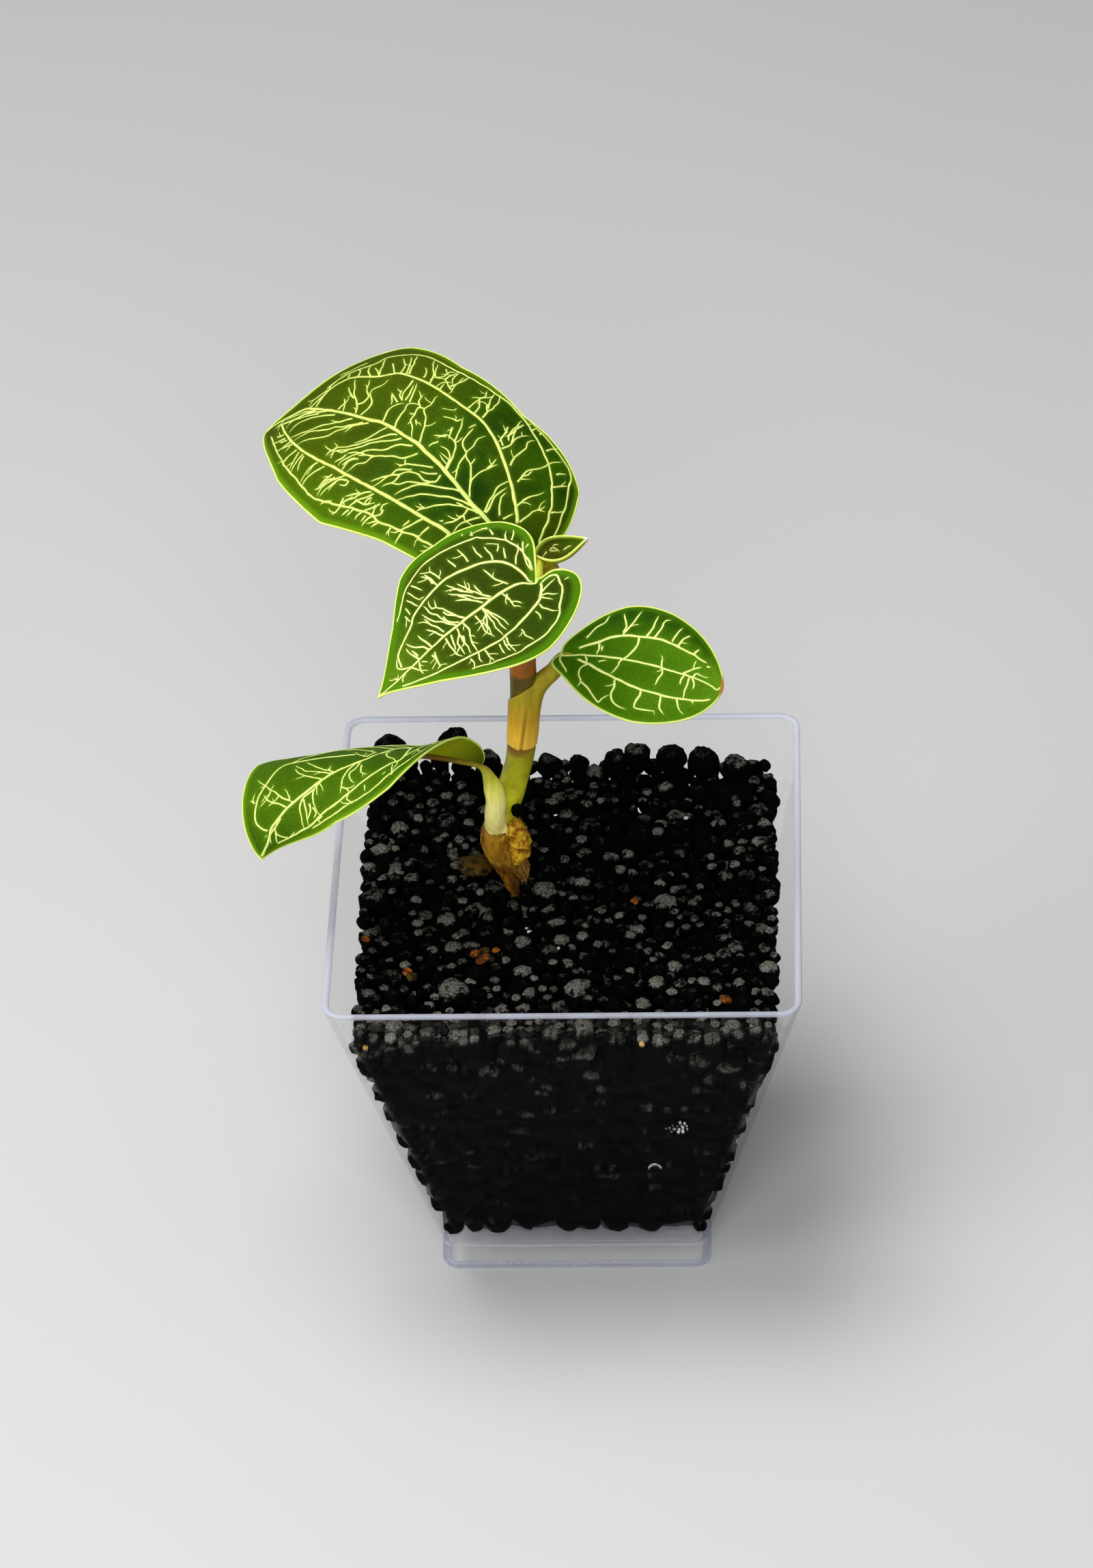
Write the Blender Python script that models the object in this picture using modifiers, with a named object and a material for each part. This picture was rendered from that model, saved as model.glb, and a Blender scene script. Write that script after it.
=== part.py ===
# A jewel orchid with netted leaves, rooted in dark granules in a clear square pot.
# Metres, +Z up. Everything is laid out round the pot's own axis, with the pot's foot at z = 0,
# and the finished plant is then moved so that the middle of its plan lies on the origin.

import math
import random

import bmesh
import bpy
from mathutils import Euler, Vector

GAP = 0.0003                    # clearance between neighbouring pieces
MERGE = 0.00002                 # vertices closer than this are one
ROUTE_STEP = 0.0018             # spacing of the rings along roots and petioles
OVERLAP = 0.002                 # a cutter reaches this far past what it cuts

# Clear square pot, tapered, on a hollow foot
POT_HEIGHT = 0.055
POT_HALF_RIM = 0.030
POT_HALF_FOOT = 0.0176
POT_WALL = 0.0009
POT_CORNER = 0.0028
FOOT_HEIGHT = 0.0040
FOOT_WALL = 0.0010
FOOT_CORNER = 0.0022
FLOOR_FILLET = 0.0012
RIM_ROUNDING = 0.0003

# Granules: a filled block with a layer of larger pieces half sunk in its top
SOIL_FRONT = 0.0458             # height of the block's top at the front wall
SOIL_BACK = 0.0480              # and at the back wall
GRANULE_SEED = 11
GRANULE_PITCH = 0.0049
GRANULE_RADIUS = (0.0023, 0.0033)
GRANULE_JITTER = 0.0012
GRANULE_LIFT = (-0.25, 0.15)    # how far a granule's middle stands above the bed, in radii
GRANULE_STRETCH = (0.85, 1.15)

# Stem: the route of its axis from the buried end to the top
STEM_ROUTE = [
    (-0.0062, 0.0032, 0.0240),
    (-0.0068, 0.0032, 0.0360),
    (-0.0076, 0.0032, 0.0478),
    (-0.0088, 0.0032, 0.0570),
    (-0.0064, 0.0032, 0.0660),
    (-0.0053, 0.0032, 0.0712),
    (-0.0047, 0.0032, 0.0800),
    (-0.0046, 0.0032, 0.0860),
    (-0.0038, 0.0032, 0.0920),
    (-0.0026, 0.0032, 0.0974),
]
STEM_RADII = [                  # height and radius, read off in straight lines between
    (0.0240, 0.0012),
    (0.0478, 0.0014),
    (0.0545, 0.0021),
    (0.0600, 0.0017),
    (0.0690, 0.0017),
    (0.0712, 0.0020),
    (0.0720, 0.0017),
    (0.0860, 0.0017),
    (0.0920, 0.0014),
    (0.0980, 0.0012),
]
SHEATHED_RADIUS = 0.0011        # the stem is this thin inside a leaf's sheath
STEM_STEP = 0.0016              # spacing of the stem's rings

# Roots: route and radius, from just outside the stem. The aerial one hangs above the granules.
ROOTS = {
    "root_aerial": ([(-0.0064, 0.0017, 0.0600), (-0.0055, 0.0010, 0.0597), (-0.0051, 0.0007, 0.0575),
                     (-0.0055, 0.0010, 0.0524)], 0.0010),
    "root_front": ([(-0.0072, 0.00155, 0.0400), (-0.0070, -0.0050, 0.0375), (-0.0040, -0.0120, 0.0280),
                    (-0.0010, -0.0140, 0.0160)], 0.0013),
    "root_right": ([(-0.0052, 0.0034, 0.0370), (0.0020, 0.0052, 0.0345), (0.0100, 0.0078, 0.0250),
                    (0.0120, 0.0090, 0.0130)], 0.0013),
    "root_back": ([(-0.0066, 0.00485, 0.0310), (-0.0074, 0.0100, 0.0285), (-0.0095, 0.0140, 0.0200),
                   (-0.0070, 0.0130, 0.0110)], 0.0013),
}

ROOT_TAPER = 0.45               # share of its radius that a root loses by its tip

# Leaves. Angles are in degrees, and each turn is how much an angle changes over the blade's length:
# heading counts from +X towards +Y, climb is above the horizontal, roll lifts the right half.
# Pairs are the left and the right half, as seen looking from the base to the tip.
# margin holds five factors on the half-width, at the shares of the length in MARGIN_STATIONS.
MARGIN_STATIONS = (0.0, 0.12, 0.32, 0.52, 0.72, 0.90, 1.0)
BLADE_THICKNESS = 0.0006
ROW_CROWDING = 1.25             # above 1, the blade's rows stand closer at its base
LOBE_REACH = 0.09               # share of the length where the lobes reach furthest back
SHEATH_WALL = 0.0007
LEAVES = {
    "leaf_top": dict(
        base=(-0.0048, 0.0080, 0.0966), length=0.0482, halfWidths=(0.0134, 0.0162), shape=(0.55, 0.56),
        heading=(138, 4, 6), climb=(47, -70, -31, 0), roll=(24, -7, 0), fold=((3, 0, 0), (4, 0, 0)),
        curl=(-23, -41), lobes=0.0029,
        margin=((0.91, 0.95, 1.10, 1.04, 0.96), (1.22, 0.91, 0.90, 1.07, 1.00)),
        petiole=[(-0.0046, 0.0036, 0.0886), (-0.0048, 0.0054, 0.0922)], petioleRadius=0.0011,
        sheath=(0.0880, 0.0912), rows=20, columns=12),
    "leaf_middle": dict(
        base=(-0.0026, -0.0010, 0.1024), length=0.0251, halfWidths=(0.0112, 0.0125), shape=(0.84, 1.30),
        heading=(221, -11, -3), climb=(-12, -4, -24, 0), roll=(19, -27, 0), fold=((9, 0, 0), (8, 0, 0)),
        curl=(-1, -21), lobes=0.0052,
        margin=((1.03, 1.07, 0.99, 0.95, 1.03), (1.17, 0.99, 1.01, 0.93, 1.01)),
        petiole=[(-0.0036, 0.0030, 0.0940), (-0.0032, 0.0012, 0.0975), (-0.0028, 0.0000, 0.1005)],
        petioleRadius=0.0010, sheath=(0.0934, 0.0962), rows=16, columns=12),
    "leaf_right": dict(
        base=(0.0003, 0.0025, 0.0866), length=0.0210, halfWidths=(0.0084, 0.0087), shape=(0.63, 0.64),
        heading=(-17, 10, 9), climb=(11, -43, 6, 0), roll=(-9, -13, 0), fold=((8, 0, 0), (10, 0, 0)),
        curl=(-10, -16), lobes=0.0008,
        margin=((1.02, 1.04, 1.00, 0.98, 1.00), (0.98, 1.01, 1.03, 1.00, 1.00)),
        petiole=[(-0.0045, 0.0032, 0.0765), (-0.0036, 0.0031, 0.0800), (-0.0022, 0.0029, 0.0831),
                 (-0.0009, 0.0027, 0.0852)],
        petioleRadius=0.0012, sheath=(0.0724, 0.0815), rows=14, columns=10),
    "leaf_left": dict(
        base=(-0.0103, 0.0010, 0.0702), length=0.0367, halfWidths=(0.0092, 0.0148), shape=(0.63, 0.85),
        heading=(196, 34, 0), climb=(31, -24, -28, -50), roll=(-26, -66, 94), fold=((48, -133, 21), (14, 0, 0)),
        curl=(-12, -21), lobes=0.0,
        margin=((0.97, 1.04, 1.10, 0.90, 0.98), (1.02, 0.98, 0.99, 1.13, 1.01)),
        petiole=[(-0.0088, 0.0026, 0.0566), (-0.0087, 0.0008, 0.0610), (-0.0084, 0.0001, 0.0655),
                 (-0.0092, 0.0003, 0.0683)],
        petioleRadius=0.0011, sheath=(0.0556, 0.0584), rows=18, columns=12),
    "leaf_new": dict(
        base=(-0.0021, 0.0032, 0.0992), length=0.0080, halfWidths=(0.0033, 0.0036), shape=(0.42, 0.80),
        heading=(-4, 8, 0), climb=(24, 28, 0, 0), roll=(0, 0, 0), fold=((30, 0, 0), (30, 0, 0)),
        curl=(56, 56), lobes=0.0002,
        margin=((1, 1, 1, 1, 1), (1, 1, 1, 1, 1)),
        petiole=[(-0.0024, 0.0032, 0.0978)], petioleRadius=0.0008, sheath=None, rows=12, columns=8),
}
MIDRIB_SHARE = 0.75             # the petiole runs on under the blade over this share of its length
MIDRIB_TIP_RADIUS = 0.0004
MIDRIB_DEPTH = 0.00036          # the midrib's axis lies this far under the blade's middle
MIDRIB_KNOTS = 8

COLOURS = {                     # base colour, roughness, alpha
    "pot": ((0.92, 0.95, 0.96), 0.08, 0.25),
    "soil": ((0.022, 0.020, 0.019), 0.85, 1.0),
    "stem": ((0.23, 0.20, 0.05), 0.45, 1.0),
    "root": ((0.42, 0.31, 0.14), 0.9, 1.0),
    "leaf": ((0.07, 0.19, 0.02), 0.4, 1.0),
    "leaf_new": ((0.30, 0.38, 0.05), 0.4, 1.0),
}


def clearScene():
    for old in list(bpy.data.objects):
        bpy.data.objects.remove(old, do_unlink=True)


def collection(name):
    made = bpy.data.collections.new(name)
    bpy.context.scene.collection.children.link(made)
    return made


def material(name):
    colour, roughness, alpha = COLOURS[name]
    made = bpy.data.materials.new(name)
    made.use_nodes = True
    shader = made.node_tree.nodes["Principled BSDF"]
    shader.inputs["Base Color"].default_value = (*colour, 1)
    shader.inputs["Roughness"].default_value = roughness
    shader.inputs["Alpha"].default_value = alpha
    return made


def objectFrom(shape, name, group):
    """A bmesh becomes an object in the group, and the bmesh is freed."""
    mesh = bpy.data.meshes.new(name)
    shape.normal_update()
    shape.to_mesh(mesh)
    shape.free()
    made = bpy.data.objects.new(name, mesh)
    group.objects.link(made)
    return made


def applyModifiers(target):
    graph = bpy.context.evaluated_depsgraph_get()
    mesh = bpy.data.meshes.new_from_object(target.evaluated_get(graph))
    target.modifiers.clear()
    old = target.data
    target.data = mesh
    bpy.data.meshes.remove(old)


def combine(target, other, operation, solver="EXACT"):
    """Boolean with one object, or with every object in a collection, which are then removed."""
    step = target.modifiers.new(operation.lower(), "BOOLEAN")
    step.operation = operation
    step.solver = solver
    if isinstance(other, bpy.types.Collection):
        step.operand_type = "COLLECTION"
        step.collection = other
        used = list(other.objects)
    else:
        step.object = other
        used = [other]
    applyModifiers(target)
    for piece in used:
        bpy.data.objects.remove(piece, do_unlink=True)


def keepLargest(piece):
    """Fills sealed pockets and drops loose scraps: only the shell with the most faces is kept."""
    shape = bmesh.new()
    shape.from_mesh(piece.data)
    waiting = set(shape.faces)
    shells = []
    while waiting:
        front = [waiting.pop()]
        shell = list(front)
        while front:
            near = {other for edge in front.pop().edges for other in edge.link_faces} & waiting
            waiting -= near
            front += near
            shell += near
        shells.append(shell)
    largest = max(shells, key=len)
    spare = [face for shell in shells if shell is not largest for face in shell]
    bmesh.ops.delete(shape, geom=spare, context="FACES")
    shape.to_mesh(piece.data)
    shape.free()


def smoothRoute(knots, spacing):
    """Points along a smooth curve that passes through the knots."""
    points = [Vector(knot) for knot in knots]
    ends = [2 * points[0] - points[1]] + points + [2 * points[-1] - points[-2]]
    route = []
    for a, b, c, d in zip(ends, ends[1:], ends[2:], ends[3:]):
        steps = max(1, round((c - b).length / spacing))
        for i in range(steps):
            t = i / steps
            curve = 2 * b + (c - a) * t + (2 * a - 5 * b + 4 * c - d) * t**2 + (3 * b - a - 3 * c + d) * t**3
            route.append(curve / 2)
    route.append(points[-1])
    return route


def between(value, table):
    """Straight-line reading of a table of (station, value) pairs."""
    if value <= table[0][0]:
        return table[0][1]
    for (low, a), (high, b) in zip(table, table[1:]):
        if value <= high:
            return a + (b - a) * (value - low) / (high - low)
    return table[-1][1]


def tube(name, route, radii, group, sides=2):
    """A round tube with closed ends along the route, as a mesh."""
    data = bpy.data.curves.new(name, "CURVE")
    data.dimensions = "3D"
    data.bevel_depth = 0.001
    data.bevel_resolution = sides
    data.use_fill_caps = True
    line = data.splines.new("POLY")
    line.points.add(len(route) - 1)
    for point, place, radius in zip(line.points, route, radii):
        point.co = (*place, 1)
        point.radius = radius / data.bevel_depth
    drawn = bpy.data.objects.new(name + "_line", data)
    group.objects.link(drawn)
    bpy.context.view_layer.update()
    mesh = bpy.data.meshes.new_from_object(drawn.evaluated_get(bpy.context.evaluated_depsgraph_get()))
    shape = bmesh.new()
    shape.from_mesh(mesh)
    bmesh.ops.remove_doubles(shape, verts=shape.verts, dist=MERGE / 4)
    bmesh.ops.recalc_face_normals(shape, faces=shape.faces)
    bpy.data.objects.remove(drawn, do_unlink=True)
    bpy.data.meshes.remove(mesh)
    return objectFrom(shape, name, group)


def taperedBox(low, high, halfLow, halfHigh, corner, bottomFillet=0.0, openTop=False, openBottom=False):
    """A square block from height low to high with rounded upright edges."""
    shape = bmesh.new()
    bmesh.ops.create_cube(shape, size=2)
    for vert in shape.verts:
        up = vert.co.z > 0
        half = halfHigh if up else halfLow
        vert.co = (vert.co.x * half, vert.co.y * half, high if up else low)
    drop = [face for face in shape.faces
            if (openTop and face.normal.z > 0.9) or (openBottom and face.normal.z < -0.9)]
    bmesh.ops.delete(shape, geom=drop, context="FACES_ONLY")
    upright = [edge for edge in shape.edges if abs(edge.verts[0].co.z - edge.verts[1].co.z) > (high - low) / 2]
    bmesh.ops.bevel(shape, geom=upright, offset=corner, segments=3, affect="EDGES", profile=0.5)
    if bottomFillet:
        rim = [edge for edge in shape.edges if all(vert.co.z < low + 1e-6 for vert in edge.verts)]
        bmesh.ops.bevel(shape, geom=rim, offset=bottomFillet, segments=2, affect="EDGES", profile=0.5)
    return shape


def potHalf(height):
    """Half the pot's outer width at a height."""
    share = (height - FOOT_HEIGHT) / (POT_HEIGHT - FOOT_HEIGHT)
    return POT_HALF_FOOT + (POT_HALF_RIM - POT_HALF_FOOT) * share


def makePot(group):
    shape = taperedBox(FOOT_HEIGHT, POT_HEIGHT, POT_HALF_FOOT, POT_HALF_RIM, POT_CORNER,
                       bottomFillet=FLOOR_FILLET, openTop=True)
    pot = objectFrom(shape, "pot", group)
    wall = pot.modifiers.new("wall", "SOLIDIFY")
    wall.thickness = POT_WALL
    wall.offset = -1
    wall.use_even_offset = True
    applyModifiers(pot)
    for vert in pot.data.vertices:      # the thickened edge leans with the wall, so it is made level
        if vert.co.z > POT_HEIGHT - POT_WALL:
            vert.co.z = POT_HEIGHT
    rim = pot.modifiers.new("rim rounding", "BEVEL")
    rim.width = RIM_ROUNDING
    rim.segments = 2
    rim.limit_method = "ANGLE"
    rim.angle_limit = math.radians(60)
    applyModifiers(pot)
    footTop = FOOT_HEIGHT + POT_WALL / 2
    shape = taperedBox(0, footTop, POT_HALF_FOOT, POT_HALF_FOOT, FOOT_CORNER, openTop=True, openBottom=True)
    foot = objectFrom(shape, "foot", group)
    ring = foot.modifiers.new("wall", "SOLIDIFY")
    ring.thickness = FOOT_WALL
    ring.offset = -1
    ring.use_even_offset = True
    applyModifiers(foot)
    combine(pot, foot, "UNION")
    return pot


def soilTop(y):
    """Height of the granules' bed, which rises a little to the back."""
    return SOIL_FRONT + (SOIL_BACK - SOIL_FRONT) * (y / POT_HALF_RIM + 1) / 2


def potRoom(name, group):
    """The space inside the pot, clear of its walls and floor."""
    lean = math.hypot(POT_HALF_RIM - POT_HALF_FOOT, POT_HEIGHT - FOOT_HEIGHT) / (POT_HEIGHT - FOOT_HEIGHT)
    clear = (POT_WALL + GAP) * lean
    floor = FOOT_HEIGHT + POT_WALL + GAP
    shape = taperedBox(floor, POT_HEIGHT, potHalf(floor) - clear, potHalf(POT_HEIGHT) - clear,
                       POT_CORNER - POT_WALL / 2, bottomFillet=FLOOR_FILLET)
    return objectFrom(shape, name, group)


def makeSoil(group, scratch):
    soil = potRoom("soil", group)
    # everything above the bed is taken off, and the granules are then sunk into it
    above = bmesh.new()
    bmesh.ops.create_cube(above, size=2)
    for vert in above.verts:
        y = vert.co.y * 2 * POT_HALF_RIM
        vert.co = (vert.co.x * 2 * POT_HALF_RIM, y, 2 * POT_HEIGHT if vert.co.z > 0 else soilTop(y))
    combine(soil, objectFrom(above, "above", group), "DIFFERENCE")
    granules = collection("granules")
    scratch.children.link(granules)
    draw = random.Random(GRANULE_SEED)
    count = round(2 * POT_HALF_RIM / GRANULE_PITCH)
    for row in range(count):
        for column in range(count):
            x = (column + 0.5 - count / 2 + 0.25 * (-1) ** row) * GRANULE_PITCH
            y = (row + 0.5 - count / 2) * GRANULE_PITCH
            x += draw.uniform(-1, 1) * GRANULE_JITTER
            y += draw.uniform(-1, 1) * GRANULE_JITTER
            radius = draw.uniform(*GRANULE_RADIUS)
            lift = draw.uniform(*GRANULE_LIFT) * radius
            lump = bmesh.new()
            bmesh.ops.create_icosphere(lump, subdivisions=1, radius=radius)
            turn = Euler([draw.uniform(0, 2 * math.pi) for _ in range(3)]).to_matrix()
            stretch = Vector([draw.uniform(*GRANULE_STRETCH) for _ in range(3)])
            for vert in lump.verts:
                vert.co = turn @ (vert.co * stretch) + Vector((x, y, soilTop(y) + lift))
            objectFrom(lump, "granule", granules)
    combine(soil, granules, "UNION", solver="MANIFOLD")
    combine(soil, potRoom("room", group), "INTERSECT", solver="MANIFOLD")
    bpy.data.collections.remove(granules)
    keepLargest(soil)
    return soil


def insideSheath(height, spare):
    spans = [leaf["sheath"] for leaf in LEAVES.values() if leaf["sheath"]]
    return any(low - spare <= height <= high + spare for low, high in spans)


def stemStations():
    """Heights of the stem's rings, with a pair at each end of a sheath for the shoulder there."""
    low, high = STEM_ROUTE[0][2], STEM_ROUTE[-1][2]
    count = round((high - low) / STEM_STEP)
    heights = [low + (high - low) * i / count for i in range(count + 1)]
    shoulders = []
    for leaf in LEAVES.values():
        if leaf["sheath"]:
            bottom, top = leaf["sheath"]
            shoulders += [bottom - 1.3 * GAP, bottom - GAP, top + GAP, top + 1.3 * GAP]
    spaced = [h for h in heights if all(abs(h - s) > STEM_STEP / 3 for s in shoulders)]
    return sorted(spaced + shoulders)


def stemAt(height):
    """Point on the stem's axis at a height."""
    route = smoothRoute(STEM_ROUTE, STEM_STEP / 3)
    for a, b in zip(route, route[1:]):
        if height <= b.z:
            return a.lerp(b, max(0, (height - a.z) / (b.z - a.z)))
    return route[-1]


def stemRadius(height):
    if insideSheath(height, 1.1 * GAP):
        return SHEATHED_RADIUS
    return between(height, STEM_RADII)


def makeStemTube(name, group, spare=0.0, extra=0.0):
    """The stem, or the room that it needs: spare is added all round and extra to both ends."""
    heights = stemStations()
    route = [stemAt(height) for height in heights]
    radii = [stemRadius(height) + spare for height in heights]
    if extra:
        start = route[0] - (route[1] - route[0]).normalized() * extra
        end = route[-1] + (route[-1] - route[-2]).normalized() * extra
        route = [start] + route + [end]
        radii = [radii[0]] + radii + [radii[-1]]
    return tube(name, route, radii, group)


def rootTube(name, group, spare=0.0):
    knots, radius = ROOTS[name.replace("_room", "")]
    route = smoothRoute(knots, ROUTE_STEP)
    radii = [radius * (1 - ROOT_TAPER * (i / (len(route) - 1)) ** 2) + spare for i in range(len(route))]
    if spare:
        route[-1] = route[-1] + (route[-1] - route[-2]).normalized() * spare
        route[0] = route[0] - (route[1] - route[0]).normalized() * 2 * spare
    return tube(name, route, radii, group)


def angle(terms, s):
    """An angle in radians from its value at the base and its turns over the length."""
    return math.radians(sum(term * s**power for power, term in enumerate(terms)))


def midribFrames(leaf, steps=120):
    """Points along the midrib, each with the way ahead, the way to the right and the upper side."""
    frames = []
    place = Vector(leaf["base"])
    last = None
    for i in range(steps + 1):
        s = i / steps
        heading, climb, roll = angle(leaf["heading"], s), angle(leaf["climb"], s), angle(leaf["roll"], s)
        ahead = Vector((math.cos(climb) * math.cos(heading), math.cos(climb) * math.sin(heading), math.sin(climb)))
        if last is not None:
            place = place + (ahead + last) / 2 * leaf["length"] / steps
        level = ahead.cross(Vector((0, 0, 1))).normalized()
        upright = level.cross(ahead)
        right = level * math.cos(roll) + upright * math.sin(roll)
        upper = upright * math.cos(roll) - level * math.sin(roll)
        frames.append((place, ahead, right, upper))
        last = ahead
    return frames


def frameAt(frames, s):
    position = min(max(s, 0), 1) * (len(frames) - 1)
    i = min(int(position), len(frames) - 2)
    return [a.lerp(b, position - i) for a, b in zip(frames[i], frames[i + 1])]


def halfWidth(leaf, side, s):
    """Width of one half of the blade at a share s of its length."""
    swell, taper = leaf["shape"]
    widest = swell / (swell + taper)
    outline = (s / widest) ** swell * (max(0, 1 - s) / (1 - widest)) ** taper
    factors = (1.0, *leaf["margin"][side], 1.0)
    return leaf["halfWidths"][side] * outline * between(s, list(zip(MARGIN_STATIONS, factors)))


def bladePoint(leaf, frames, s, t):
    """A point of the blade: s runs from base to tip, t from the left margin at -1 to the right at 1."""
    place, ahead, right, upper = frameAt(frames, s)
    side = 1 if t > 0 else 0
    width = halfWidth(leaf, side, s) * abs(t)
    lean = angle(leaf["fold"][side], s) + math.radians(leaf["curl"][side]) * abs(t) / 2
    back = leaf["lobes"] * (s / LOBE_REACH) * math.exp(1 - s / LOBE_REACH) * abs(t) ** 1.5
    outward = math.copysign(1, t) * width * math.cos(lean)
    return place - ahead * back + right * outward + upper * width * math.sin(lean)


def makeBlade(leaf, frames, name, group):
    """A grid bent into the blade, closed to a point at both ends and thickened."""
    shape = bmesh.new()
    bmesh.ops.create_grid(shape, x_segments=leaf["rows"], y_segments=leaf["columns"], size=1)
    for vert in shape.verts:
        s = (vert.co.x + 1) / 2
        vert.co = bladePoint(leaf, frames, s**ROW_CROWDING, vert.co.y)
    bmesh.ops.remove_doubles(shape, verts=shape.verts, dist=MERGE)
    bmesh.ops.triangulate(shape, faces=shape.faces)
    blade = objectFrom(shape, name, group)
    body = blade.modifiers.new("thickness", "SOLIDIFY")
    body.thickness = BLADE_THICKNESS
    body.offset = 0
    applyModifiers(blade)
    return blade


def makeLeaf(name, group):
    leaf = LEAVES[name]
    frames = midribFrames(leaf)
    blade = makeBlade(leaf, frames, name, group)
    base = Vector(leaf["base"])
    keel = []
    for i in range(MIDRIB_KNOTS + 1):
        place, ahead, right, upper = frameAt(frames, MIDRIB_SHARE * i / MIDRIB_KNOTS)
        keel.append(place - upper * MIDRIB_DEPTH)
    knots = leaf["petiole"] + keel
    route = smoothRoute(knots, ROUTE_STEP)
    reach = [0.0]
    for a, b in zip(route, route[1:]):
        reach.append(reach[-1] + (b - a).length)
    basePlace = min(range(len(route)), key=lambda i: (route[i] - base).length)
    radii = []
    for i, distance in enumerate(reach):
        share = max(0, (distance - reach[basePlace]) / (reach[-1] - reach[basePlace]))
        left = (1 - share) ** 0.7
        radii.append(leaf["petioleRadius"] * left + MIDRIB_TIP_RADIUS * (1 - left))
    combine(blade, tube(name + "_petiole", route, radii, group), "UNION")
    if leaf["sheath"]:
        low, high = leaf["sheath"]
        count = max(2, round((high - low) / STEM_STEP))
        heights = [low + (high - low) * i / count for i in range(count + 1)]
        outer = SHEATHED_RADIUS + GAP + SHEATH_WALL
        sleeve = tube(name + "_sheath", [stemAt(h) for h in heights], [outer] * len(heights), group)
        combine(blade, sleeve, "UNION")
        combine(blade, makeStemTube("stem_room", group, spare=GAP, extra=OVERLAP), "DIFFERENCE")
    return blade


def centreOnOrigin(pieces):
    """Moves the pieces so that the middle of their plan lies on the z axis."""
    corners = [vert.co for piece in pieces for vert in piece.data.vertices]
    middle = Vector([-(min(c[i] for c in corners) + max(c[i] for c in corners)) / 2 for i in range(2)] + [0])
    for piece in pieces:
        for vert in piece.data.vertices:
            vert.co = vert.co + middle
    print("plan moved by", [round(value, 6) for value in middle])


def build():
    clearScene()
    group = collection("potted_jewel_orchid")
    scratch = collection("cutters")
    pieces = {"pot": makePot(group), "soil": makeSoil(group, scratch), "stem": makeStemTube("stem", group)}
    combine(pieces["soil"], makeStemTube("stem_room", group, spare=GAP, extra=GAP), "DIFFERENCE")
    for name in ROOTS:
        combine(pieces["soil"], rootTube(name + "_room", group, spare=GAP), "DIFFERENCE")
        pieces[name] = rootTube(name, group)
    for name in LEAVES:
        pieces[name] = makeLeaf(name, group)
    centreOnOrigin(list(pieces.values()))
    for name, piece in pieces.items():
        if name != "soil":
            piece.data.shade_smooth()
            piece.data.set_sharp_from_angle(angle=math.radians(40))
        kind = name if name in COLOURS else name.split("_")[0]
        piece.data.materials.clear()
        piece.data.materials.append(bpy.data.materials.get(kind) or material(kind))
    bpy.data.collections.remove(scratch)


build()
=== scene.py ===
import math
import random

import bmesh
import bpy
from mathutils import Euler, Matrix, Vector, kdtree, noise


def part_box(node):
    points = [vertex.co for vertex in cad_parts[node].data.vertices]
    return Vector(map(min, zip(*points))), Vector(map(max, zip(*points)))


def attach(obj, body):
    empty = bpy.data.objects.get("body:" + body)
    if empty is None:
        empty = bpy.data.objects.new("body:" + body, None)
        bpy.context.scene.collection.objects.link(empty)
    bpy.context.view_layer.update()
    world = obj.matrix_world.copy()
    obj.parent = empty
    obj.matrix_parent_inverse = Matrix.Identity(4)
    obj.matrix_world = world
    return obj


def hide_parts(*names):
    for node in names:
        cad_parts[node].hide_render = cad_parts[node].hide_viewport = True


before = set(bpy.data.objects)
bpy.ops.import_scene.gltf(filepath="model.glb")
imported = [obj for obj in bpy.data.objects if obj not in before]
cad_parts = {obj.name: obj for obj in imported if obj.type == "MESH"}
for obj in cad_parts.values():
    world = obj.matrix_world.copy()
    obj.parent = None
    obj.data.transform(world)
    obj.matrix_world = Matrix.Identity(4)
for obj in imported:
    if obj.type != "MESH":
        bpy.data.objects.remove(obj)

bpy.ops.object.select_all(action="DESELECT")
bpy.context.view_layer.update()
noise.seed_set(5)                    # noise_vector starts from the clock without it

# everything below is laid out round the pot's own axis, which stands beside the origin
potLow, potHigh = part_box("pot")
potAxis = Vector(((potLow[0] + potHigh[0]) / 2, (potLow[1] + potHigh[1]) / 2, 0))
mm = 0.001


# small helpers

def onlySelect(piece):
    bpy.ops.object.select_all(action="DESELECT")
    piece.select_set(True)
    bpy.context.view_layer.objects.active = piece


def editFrom(piece, mode="VERT", action="DESELECT"):
    onlySelect(piece)
    bpy.ops.object.mode_set(mode="EDIT")
    bpy.ops.mesh.select_mode(type=mode)
    bpy.ops.mesh.select_all(action=action)


def editAll(piece, *steps):
    # runs edit-mode operators on the whole mesh: each step is an operator's name and its settings
    editFrom(piece, action="SELECT")
    for name, settings in steps:
        getattr(bpy.ops.mesh, name)(**settings)
    bpy.ops.object.mode_set(mode="OBJECT")


def pick(piece, kind, wanted):
    # selects the verts, edges or faces that the test wants, in edit mode
    shape = bmesh.from_edit_mesh(piece.data)
    for element in getattr(shape, kind):
        if wanted(element):
            element.select_set(True)
    bmesh.update_edit_mesh(piece.data)


def cutOff(place, way):
    # the edit step that takes off what lies beyond a plane
    return "bisect", {"plane_co": place, "plane_no": way, "use_fill": True, "clear_outer": True}


def closeUp(piece, gap=0.000002):
    # merges what lies together and turns all faces outwards
    editAll(piece, ("remove_doubles", {"threshold": gap}), ("normals_make_consistent", {"inside": False}))


def addModifier(piece, kind, **settings):
    onlySelect(piece)
    step = piece.modifiers.new(kind.lower(), kind)
    for key, value in settings.items():
        setattr(step, key, value)
    bpy.ops.object.modifier_apply(modifier=step.name)


def shift(piece):
    for vert in piece.data.vertices:
        vert.co = vert.co + potAxis


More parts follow.
